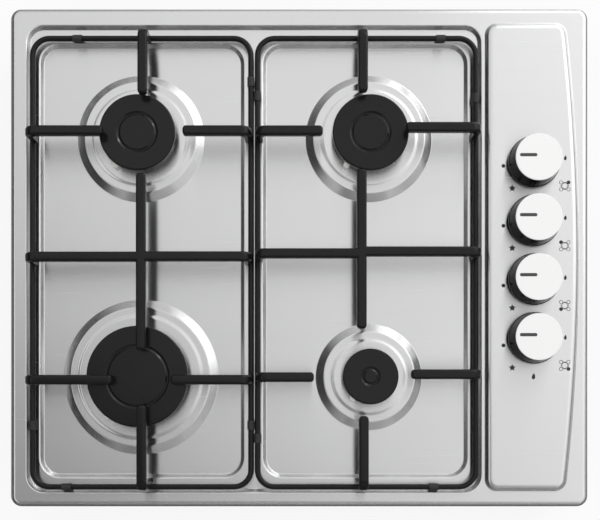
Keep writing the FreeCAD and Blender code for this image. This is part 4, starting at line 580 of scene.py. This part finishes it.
ink_level, ink_thickness = panel_level + 0.03 * mm, 0.02 * mm
off_place, off_dot = (-29.4 * mm, -3 * mm), 1.9 * mm
star_place, star_reach = (-20.6 * mm, -25.2 * mm), 3.7 * mm
small_flame_place, small_flame = (32.2 * mm, 4.5 * mm), 3.6 * mm
large_flame_place, large_flame = (0.5 * mm, -34.5 * mm), 4.6 * mm
plan_place, plan_ring, plan_ring_inner = (31.7 * mm, -22.9 * mm), 3.1 * mm, 2.65 * mm
burner_ring, burner_ring_inner = 1.9 * mm, 1.4 * mm
burner_across, burner_along = 3.7 * mm, 3.5 * mm
line_width, wide_line, high_line = 0.6 * mm, 3.4 * mm, 2.2 * mm
wide_line_off, high_line_off = 3.4 * mm, 3.6 * mm
sign_pitch = 59.6 * mm


def ring_sign(x, y, outer, inner=0):
    """A printed ring, or a dot where no inner radius is given."""
    holes = [circle(x, y, inner, 32)] if inner else []
    return flat(ink_level, circle(x, y, outer, 32), holes)


def star_sign(x, y, reach):
    """A five-pointed star: ten points at even turns, every second one set in by half."""
    angle = np.pi / 2 + 2 * np.pi * np.arange(10) / 10
    radius = np.where(np.arange(10) % 2, 0.5 * reach, reach)
    points = np.stack([x + radius * np.cos(angle), y + radius * np.sin(angle)], 1)
    return flat(ink_level, (points, None))


def flame_outline(x, y, size):
    """A flame 1.3 sizes high: a round outline whose width shrinks to nothing at its top by
    (1 - s) to the power 0.3, with s the height from 0 to 1, and whose tip leans a tenth."""
    turn = 2 * np.pi * np.arange(32) / 32
    height = 0.5 - 0.5 * np.cos(turn)
    width = np.sin(turn) * 0.45 * (1 - height) ** 0.3
    lean = 0.1 * height ** 2
    return np.stack([x + size * (width + lean), y + size * (height * 1.3 - 0.5)], 1), None


def line_sign(x, y, across, along):
    """A short printed line: a strip with its corners rounded by a quarter of its width."""
    return flat(ink_level, rounded(x - across / 2, x + across / 2, y - along / 2,
                                   y + along / 2, line_width / 4, 2))


signs = []
first_x, first_y = knob_places[0]
for index in range(len(knob_places)):
    knob = np.array((first_x, first_y - index * sign_pitch))
    signs += [ring_sign(*(knob + off_place), off_dot),
              star_sign(*(knob + star_place), star_reach),
              flat(ink_level, flame_outline(*(knob + small_flame_place), small_flame)),
              flat(ink_level, flame_outline(*(knob + large_flame_place), large_flame))]
    x, y = knob + plan_place
    signs.append(ring_sign(x, y, plan_ring, plan_ring_inner))
    for end in (1, -1):
        signs.append(line_sign(x, y + end * wide_line_off, wide_line, line_width))
    for side in (1, -1):
        signs.append(line_sign(x + side * high_line_off, y, line_width, high_line))
    for corner, (side, end) in enumerate(((1, 1), (-1, 1), (-1, -1), (1, -1))):
        signs.append(ring_sign(x + side * burner_across, y + end * burner_along, burner_ring,
                               0 if corner == index else burner_ring_inner))
ink = finish("black_ink", fine_skin, {"Scale": 3000, "Depth": 0.05}, "Speckle",
             (0.012, 0.012, 0.013), (0.03, 0.03, 0.032), smooth=0.45, rough=0.6)
printed = make_piece("panel_signs", signs, ink)
ink_film = printed.modifiers.new("ink_film", "SOLIDIFY")
ink_film.thickness = ink_thickness
ink_film.offset = -1


# ---------------------------------------------------------------- pan supports
# Each is a frame of round steel rod with nine square bars welded to it, all under black
# vitreous enamel; the bars bend down to the rod and their tips are rounded.

enamel = finish("black_enamel", fine_skin, {"Scale": 420, "Depth": 0.16}, "Speckle",
                (0.006, 0.006, 0.0065), (0.011, 0.011, 0.0115), smooth=0.18, rough=0.28,
                Specular_IOR_Level=0.22)
support_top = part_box("left_support_fingers")[1].z
bar_width, bar_height = 9.5 * mm, 7 * mm
bar_edge, bar_tip = 2.5 * mm, 3.6 * mm
bend_outside, leg_outset, ring_corner = 11 * mm, 1.5 * mm, 17 * mm


def make_rod_frame(side):
    """A round rod carried round a rounded rectangle: offset r cos a, height r sin a."""
    low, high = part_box(side + "_support_ring")
    radius = (high.z - low.z) / 2
    loop = rounded(low.x + radius, high.x - radius, low.y + radius, high.y - radius,
                   ring_corner, 16)
    angle = np.linspace(0, 2 * np.pi, 25)
    level = (low.z + high.z) / 2
    profile = np.stack([-radius * np.cos(angle), level + radius * np.sin(angle)], 1)
    make_piece(side + "_rod_frame", [carry(loop, profile)], enamel, side + "_support",
               replaces=[side + "_support_ring"])


def closed_tube(rows, columns):
    """The faces of a grid whose rows go round, closed by one face at each end."""
    first_row = list(range(columns))
    last_row = list(range((rows - 1) * columns, rows * columns))
    return grid_faces(rows, columns) + [first_row[::-1], last_row]


def bar_patch(length, tips, bend_start=None):
    """One bar along +X, first as if unbent, then bent down at bend_start.

    Its plan is a strip with round corners at its free ends. A point's height falls from the
    top by a quarter circle within bar_edge of the plan's outline. Past the bend's start
    the middle line turns by 90 degrees on a circle, so a point h above that line lies at
    radius + h from the circle's centre; after that it runs straight down.
    """
    half = bar_width / 2
    ends = bar_tip * (1 - np.cos(np.linspace(0, np.pi / 2, 10)))
    stations = list(ends) if tips[0] else [0.0]
    bend_radius = bend_outside - bar_height / 2
    if bend_start is not None:
        arc = bend_radius * math.pi / 2
        stations += list(bend_start + np.linspace(0, arc, 15))
        stations.append(length)
    elif tips[1]:
        stations += list(length - ends[::-1])
    else:
        stations.append(length)
    along = np.array(stations)[:, None]
    free = np.full_like(along, 1.0)
    if tips[0]:
        free = np.minimum(free, along)
    if tips[1]:
        free = np.minimum(free, length - along)
    near = np.minimum(free, bar_tip)
    width = half - bar_tip + np.sqrt(bar_tip ** 2 - (bar_tip - near) ** 2)
    inward = bar_edge * (1 - np.cos(np.linspace(0, np.pi / 2, 8)))
    share = np.concatenate([half - inward, inward[::-1] - half])[None] / half
    across = width * share
    corner = np.hypot(bar_tip - near, np.abs(across) - (half - bar_tip))
    depth = np.minimum(np.broadcast_to(free, across.shape), half - np.abs(across))
    in_corner = (near < bar_tip) & (np.abs(across) > half - bar_tip)
    depth = np.where(in_corner, bar_tip - corner, depth).clip(0, bar_edge)
    height = np.sqrt(bar_edge ** 2 - (bar_edge - depth) ** 2) - bar_edge + bar_height / 2
    side = np.concatenate([width, width], 1)
    low = np.full_like(side, -bar_height / 2)
    across = np.concatenate([side[:, :1], across, -side[:, 1:]], 1)
    height = np.concatenate([low[:, :1], height, low[:, 1:]], 1)
    along = np.broadcast_to(along, across.shape).copy()
    if bend_start is not None:
        past = np.clip(along - bend_start, 0, None)
        angle = np.minimum(past / bend_radius, math.pi / 2)
        straight = np.clip(past - bend_radius * math.pi / 2, 0, None)
        reach = bend_radius + height
        bent = along > bend_start
        along = np.where(bent, bend_start + reach * np.sin(angle), along)
        height = np.where(bent, reach * np.cos(angle) - bend_radius - straight, height)
    grid = np.stack([along, across, height + support_top - bar_height / 2], -1)
    return grid.reshape(-1, 3), closed_tube(*across.shape)


def turned_bar(patch, x, y, angle):
    """The bar's patch turned about Z and moved to its place."""
    points, faces = patch
    turn = math.radians(angle)
    spin = np.array([[math.cos(turn), math.sin(turn), 0],
                     [-math.sin(turn), math.cos(turn), 0], [0, 0, 1]])
    return points @ spin + (x, y, 0), faces


def face_outwards(piece):
    """Turns the faces of a closed piece outwards."""
    work = bmesh.new()
    work.from_mesh(piece.data)
    bmesh.ops.recalc_face_normals(work, faces=work.faces)
    work.to_mesh(piece.data)
    work.free()


def make_bars(side, lines, tips):
    """The nine bars of one support: six fingers, the spine and two half crossbars. A bar's
    line is the x or y that it is welded on, and its tip the other coordinate of its end."""
    low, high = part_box(side + "_support_ring")
    rod = (high.z - low.z) / 2
    rod_level = (high.z + low.z) / 2
    reach_to = {0: high.x - rod + leg_outset, 180: low.x + rod - leg_outset,
                90: high.y - rod + leg_outset, 270: low.y + rod - leg_outset}
    bend_length = (bend_outside - bar_height / 2) * math.pi / 2
    leg = support_top - bend_outside - rod_level
    patches = []

    def finger(x, y, angle, rounded_tip=True):
        """A bar from its tip at x, y out to the rod, bent down there to the rod's middle."""
        start = x if angle in (0, 180) else y
        bend_start = abs(reach_to[angle] - start) - bend_outside
        patch = bar_patch(bend_start + bend_length + leg, (rounded_tip, False), bend_start)
        patches.append(turned_bar(patch, x, y, angle))

    finger(lines["rear_back"], tips["rear_back"], 90)
    finger(lines["front_front"], tips["front_front"], 270)
    for row in ("rear", "front"):
        finger(tips[row + "_left"], lines[row + "_left"], 180)
        finger(tips[row + "_right"], lines[row + "_right"], 0)
    spine_x, weld_depth = lines["spine"], bar_width / 4
    finger(spine_x + weld_depth, lines["cross_right"], 0, False)
    finger(spine_x - weld_depth, lines["cross_left"], 180, False)
    spine = bar_patch(tips["spine_back"] - tips["spine_front"], (True, True))
    patches.append(turned_bar(spine, spine_x, tips["spine_front"], 90))
    bars = make_piece(side + "_bars", patches, enamel, side + "_support",
                      replaces=[side + "_support_fingers"])
    face_outwards(bars)


make_rod_frame("left")
make_rod_frame("right")


def in_metres(sizes):
    """The same sizes, given in millimetres, as metres."""
    return {name: size * mm for name, size in sizes.items()}


# Each bar's line, then each tip, in millimetres as measured in the photograph.
make_bars("left",
          in_metres({"rear_back": -152, "spine": -153.5, "front_front": -153,
                     "rear_left": 118, "rear_right": 118, "cross_left": -4.1,
                     "cross_right": -3.8, "front_left": -123.3, "front_right": -123.3}),
          in_metres({"rear_back": 153.6, "front_front": -147.8, "rear_left": -190.4,
                     "rear_right": -113.2, "front_left": -181.7, "front_right": -124.8,
                     "spine_back": 76.9, "spine_front": -94.7}))
make_bars("right",
          in_metres({"rear_back": 61.6, "spine": 60.4, "front_front": 62.4,
                     "rear_left": 117.9, "rear_right": 121.2, "cross_left": -0.9,
                     "cross_right": 0.9, "front_left": -120.8, "front_right": -118}),
          in_metres({"rear_back": 155.5, "front_front": -158.4, "rear_left": 22.7,
                     "rear_right": 103.3, "front_left": 14.1, "front_right": 108.1,
                     "spine_back": 80.8, "spine_front": -74}))


# ---------------------------------------------------------------- burner caps
# Flat discs of enamelled steel with a pressed ring groove, which lie loose on the crowns
# and are kept in the middle by a short skirt below.

cap_enamel = finish("cap_enamel", fine_skin, {"Scale": 500, "Depth": 0.12}, "Speckle",
                    (0.006, 0.006, 0.0065), (0.010, 0.010, 0.0105), smooth=0.16, rough=0.24,
                    Specular_IOR_Level=0.24)


def turned(x, y, profile, steps=128):
    """A profile of radii and heights turned once round the upright line at x, y. It runs
    out from that line below and back to it over the top, so its faces point outwards."""
    shape = np.array(profile)
    centre = circle(x, y, 0, steps)
    return carry(centre, np.column_stack([-shape[:, 0], shape[:, 1]]))


groove_reach = {"rear_left": 20.6 * mm, "front_left": 32 * mm,
                "rear_right": 20.6 * mm, "front_right": 9.8 * mm}
groove_width, groove_depth, slant = 4 * mm, 1 * mm, 1.6 * mm
cap_thickness, skirt_wall, skirt_inset = 5 * mm, 2 * mm, 6.3 * mm
for name in burner_names:
    x, y = middle_of(name + "_cap")
    low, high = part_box(name + "_cap")
    radius = half_width(name + "_cap")
    skirt = half_width(name + "_crown") - skirt_inset
    skirt_inner = skirt - skirt_wall
    outer = groove_reach[name]
    inner = outer - groove_width
    cap_top = high.z
    under, groove_floor = cap_top - cap_thickness, cap_top - groove_depth
    corners = [(0, under), (skirt_inner, under), (skirt_inner, low.z), (skirt, low.z),
               (skirt, under), (radius, under), (radius, cap_top), (outer, cap_top),
               (outer - slant, groove_floor), (inner + slant, groove_floor),
               (inner, cap_top), (0, cap_top)]
    rounding = [0.2 * mm, 0.3 * mm, 0.3 * mm, 0.2 * mm, 0.8 * mm, 1.6 * mm, 0.5 * mm,
                0.35 * mm, 0.35 * mm, 0.5 * mm]
    make_piece(name + "_flat_cap", [turned(x, y, soften(corners, rounding, 5, 0.1 * mm))],
               cap_enamel, name + "_cap_lift", replaces=[name + "_cap"])


# ---------------------------------------------------------------- knobs
# A moulded black skirt, hollow below, round a hub for the spindle; its top has a white face
# let into it, and the pointer is a round-ended recess in that face, painted dark.

knob_black = finish("knob_black", fine_skin, {"Scale": 700, "Depth": 0.05}, "Speckle",
                    (0.005, 0.005, 0.0055), (0.009, 0.009, 0.0095), smooth=0.12, rough=0.20,
                    Specular_IOR_Level=0.08)
knob_white = finish("knob_white", fine_skin, {"Scale": 600, "Depth": 0.03}, "Speckle",
                    (0.93, 0.93, 0.925), (0.97, 0.97, 0.965), smooth=0.16, rough=0.24)
pointer_ink = finish("pointer_ink", fine_skin, {"Scale": 2500, "Depth": 0.05}, "Speckle",
                     (0.035, 0.035, 0.037), (0.06, 0.06, 0.062), smooth=0.4, rough=0.55)
pointer_length, pointer_width, pointer_depth = 17 * mm, 3.2 * mm, 0.4 * mm
pointer_inset, pointer_behind = 3.9 * mm, 1.8 * mm
face_margin, lip_margin = 3 * mm, 0.4 * mm
spigot, well_depth, face_gap = 20 * mm, 1.8 * mm, 0.1 * mm
hub, hub_length, bore, top_wall = 6 * mm, 15 * mm, 3.1 * mm, 4.6 * mm
band_height, band_step, band_slope, foot_wall = 2.4 * mm, 0.5 * mm, 0.3 * mm, 2 * mm
for number, (x, y) in enumerate(knob_places, 1):
    node = "knob_%d" % number
    low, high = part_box(node + "_skirt")
    disc_low, disc_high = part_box(node + "_disc")
    disc_top = disc_high.z
    disc = half_width(node + "_disc")
    base = half_width(node + "_skirt")
    shoulder, well = disc + face_gap, spigot + face_gap
    well_foot = high.z - well_depth
    hub_foot = high.z - hub_length
    ceiling = high.z - top_wall
    band = low.z + band_height
    corners = [(0, ceiling), (bore, ceiling), (bore, hub_foot), (hub, hub_foot), (hub, ceiling),
               (spigot, ceiling), (base - foot_wall, low.z), (base, low.z), (base, band),
               (base - band_step, band + band_slope), (shoulder, high.z),
               (well, high.z), (well, well_foot), (0, well_foot)]
    rounding = [0.2 * mm, 0.3 * mm, 0.3 * mm, 1 * mm, 1.5 * mm, 0.5 * mm, 0.4 * mm, 0.3 * mm,
                0.15 * mm, 0.4 * mm, 0.2 * mm, 0.2 * mm]
    make_piece(node + "_shell", [turned(x, y, soften(corners, rounding, 5, 0.1 * mm))],
               knob_black, node, replaces=[node + "_skirt"])

    end = pointer_width / 2
    slot_left = x - disc + pointer_inset + end
    slot_right = slot_left + pointer_length - pointer_width
    slot_y = y + pointer_behind
    pointer = arcs_loop([(slot_right, slot_y, end, -90, 90, 16),
                         (slot_left, slot_y, end, 90, 270, 16)])
    lid, pointer_floor = high.z + face_gap, disc_top - pointer_depth
    side = soften([(disc, disc_low.z), (disc - spigot, disc_low.z), (disc - spigot, lid),
                   (0, lid), (0, disc_top), (face_margin, disc_top)],
                  [0.3 * mm, 0.2 * mm, 0.1 * mm, 0.7 * mm], 8, 0.02 * mm)
    lip = soften([(-lip_margin, disc_top), (0, disc_top), (0, pointer_floor)],
                 [0.12 * mm], 3, 0.02 * mm)
    outline = circle(x, y, disc)
    around_pointer = flat(disc_top, inset(outline, side[-1, 0]), [inset(pointer, lip[0, 0])])
    face = make_piece(node + "_face", [carry(outline, side), around_pointer,
                                       carry(pointer, lip), flat(pointer_floor, pointer)],
                      knob_white, node, replaces=[node + "_disc"])
    face.data.materials.append(pointer_ink)
    centres = np.zeros(len(face.data.polygons) * 3)
    face.data.polygons.foreach_get("center", centres)
    sunk = np.abs(centres[2::3] - pointer_floor) < 0.01 * mm
    face.data.polygons.foreach_set("material_index", sunk.astype(np.int32))


# ---------------------------------------------------------------- cast and machined pieces
# The crowns and cups are cast aluminium, the taps and jets turned brass, and the spindles
# and screws plated steel. Each keeps its CAD shape, but the return springs are wound here.

cast_alloy = finish("cast_aluminium", fine_skin, {"Scale": 260, "Depth": 0.5}, "Speckle",
                    (0.42, 0.42, 0.43), (0.62, 0.62, 0.63), smooth=0.38, rough=0.55,
                    Metallic=1.0)
brass = finish("machined_brass", brushed_lines, {"Along": 900, "Across": 60, "Depth": 0.15},
               "Streak", (0.62, 0.43, 0.18), (0.80, 0.60, 0.30), smooth=0.22, rough=0.36,
               Metallic=1.0)
plated = finish("plated_steel", fine_skin, {"Scale": 800, "Depth": 0.1}, "Speckle",
                (0.62, 0.63, 0.64), (0.78, 0.78, 0.78), smooth=0.18, rough=0.30, Metallic=1.0)
drawn_alloy = finish("drawn_aluminium", fine_skin, {"Scale": 500, "Depth": 0.15}, "Speckle",
                     (0.60, 0.60, 0.61), (0.74, 0.74, 0.75), smooth=0.30, rough=0.42,
                     Metallic=1.0)
ceramic = finish("white_ceramic", fine_skin, {"Scale": 900, "Depth": 0.1}, "Speckle",
                 (0.80, 0.79, 0.75), (0.90, 0.89, 0.86), smooth=0.35, rough=0.5)


def smooth_rounds_group():
    """Geometry nodes that shade every face smooth and keep each edge over 35 degrees sharp."""
    group = bpy.data.node_groups.new("smooth_rounds", "GeometryNodeTree")
    group.interface.new_socket("Geometry", in_out="INPUT", socket_type="NodeSocketGeometry")
    group.interface.new_socket("Geometry", in_out="OUTPUT", socket_type="NodeSocketGeometry")
    given, result = group.nodes.new("NodeGroupInput"), group.nodes.new("NodeGroupOutput")
    faces = add_node(group, "GeometryNodeSetShadeSmooth", domain="FACE")
    edges = add_node(group, "GeometryNodeSetShadeSmooth", domain="EDGE")
    edges.inputs["Shade Smooth"].default_value = False
    angle = add_node(group, "GeometryNodeInputMeshEdgeAngle")
    over = add_node(group, "FunctionNodeCompare", data_type="FLOAT", operation="GREATER_THAN")
    over.inputs["B"].default_value = math.radians(35)
    join(group, angle, "Unsigned Angle", over, "A")
    join(group, over, "Result", edges, "Selection")
    join(group, given, "Geometry", faces, "Geometry")
    join(group, faces, "Geometry", edges, "Geometry")
    join(group, edges, "Geometry", result, "Geometry")
    return group


smooth_rounds = smooth_rounds_group()


def dress(node, material, round_stretches=True):
    """Gives a CAD node its finish, joins its loose triangles and, unless it is all flats,
    smooths its round stretches."""
    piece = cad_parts[node]
    piece.data.materials.clear()
    piece.data.materials.append(material)
    seams = piece.modifiers.new("joined", "WELD")
    seams.merge_threshold = 1e-6
    if round_stretches:
        rounds = piece.modifiers.new("smooth_rounds", "NODES")
        rounds.node_group = smooth_rounds


for name in burner_names:
    dress(name + "_cup", cast_alloy)
    dress(name + "_crown", cast_alloy)
    dress(name + "_igniter", ceramic)
for number in (1, 2, 3, 4):
    tap = "tap_%d" % number
    dress(tap + "_body", brass)
    dress(tap + "_plug", brass)
    dress(tap + "_spindle", plated)


def coil(x, y, low, high, radius, wire, turns, steps=24, sides=10):
    """A round wire on a helix: its middle line is (x + r cos a, y + r sin a) and climbs evenly
    from low to high; its section is a circle across the line's own direction."""
    angle = 2 * np.pi * np.linspace(0, turns, round(turns * steps) + 1)
    climb = (high - low) / angle[-1]
    out = np.stack([np.cos(angle), np.sin(angle), np.zeros_like(angle)], 1)
    ahead = np.stack([-radius * np.sin(angle), radius * np.cos(angle),
                      np.full_like(angle, climb)], 1)
    above = np.cross(out, ahead / np.linalg.norm(ahead, axis=1)[:, None])
    middle = (x, y, low) + radius * out + np.outer(angle * climb, (0, 0, 1))
    around = 2 * np.pi * np.arange(sides) / sides
    grid = (middle[:, None] + wire / 2 * np.cos(around)[None, :, None] * out[:, None]
            + wire / 2 * np.sin(around)[None, :, None] * above[:, None])
    return grid.reshape(-1, 3), closed_tube(*grid.shape[:2])


# The return springs are wound round the spindles at their CAD length, each on its tap's rotor.
spring_wire, spring_radius, spring_turns, knob_push = 0.8 * mm, 4.3 * mm, 3.5, 3 * mm
for number, (x, y) in enumerate(knob_places, 1):
    node = "tap_%d_spring" % number
    low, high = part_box(node)
    winding = coil(x, y, low.z + spring_wire / 2, high.z - spring_wire / 2, spring_radius,
                   spring_wire, spring_turns)
    spring = make_piece("return_spring_%d" % number, [winding], plated, "rotor_%d" % number,
                        replaces=[node])
    face_outwards(spring)
    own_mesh(spring)

dress("injectors", brass)
dress("gas_inlet", brass)
dress("pan_head_screws", plated)
dress("feed_pipes", drawn_alloy)


# ---------------------------------------------------------------- casing and what it holds
# Folded galvanised steel with its rails, clips and gas rail; a foam seal, rubber feet and
# grommets, and the plastic generator, terminal and leads.

galvanised = finish("galvanised_steel", fine_skin, {"Scale": 70, "Depth": 0.06}, "Speckle",
                    (0.48, 0.50, 0.52), (0.66, 0.68, 0.70), smooth=0.32, rough=0.5, Metallic=1.0)
foam = finish("seal_foam", fine_skin, {"Scale": 1500, "Depth": 0.8}, "Speckle",
              (0.02, 0.02, 0.02), (0.05, 0.05, 0.05), smooth=0.85, rough=0.95)
rubber = finish("black_rubber", fine_skin, {"Scale": 1200, "Depth": 0.3}, "Speckle",
                (0.012, 0.012, 0.012), (0.03, 0.03, 0.03), smooth=0.6, rough=0.75)
dark_plastic = finish("dark_plastic", fine_skin, {"Scale": 1600, "Depth": 0.3}, "Speckle",
                      (0.03, 0.03, 0.032), (0.06, 0.06, 0.062), smooth=0.45, rough=0.6)
pale_plastic = finish("pale_plastic", fine_skin, {"Scale": 1600, "Depth": 0.2}, "Speckle",
                      (0.72, 0.71, 0.66), (0.82, 0.81, 0.76), smooth=0.4, rough=0.55)
silicone = finish("lead_silicone", fine_skin, {"Scale": 1200, "Depth": 0.2}, "Speckle",
                  (0.62, 0.62, 0.58), (0.74, 0.74, 0.70), smooth=0.5, rough=0.6)
for node in ("bottom_casing", "burner_rails", "fixing_clips"):
    dress(node, galvanised, round_stretches=False)
dress("gas_manifold", galvanised)
for node in ("left_support_feet", "right_support_feet", "knob_seals"):
    dress(node, rubber)
dress("worktop_gasket", foam)
dress("spark_generator", dark_plastic)
dress("terminal_block", pale_plastic)
dress("ignition_leads", silicone)
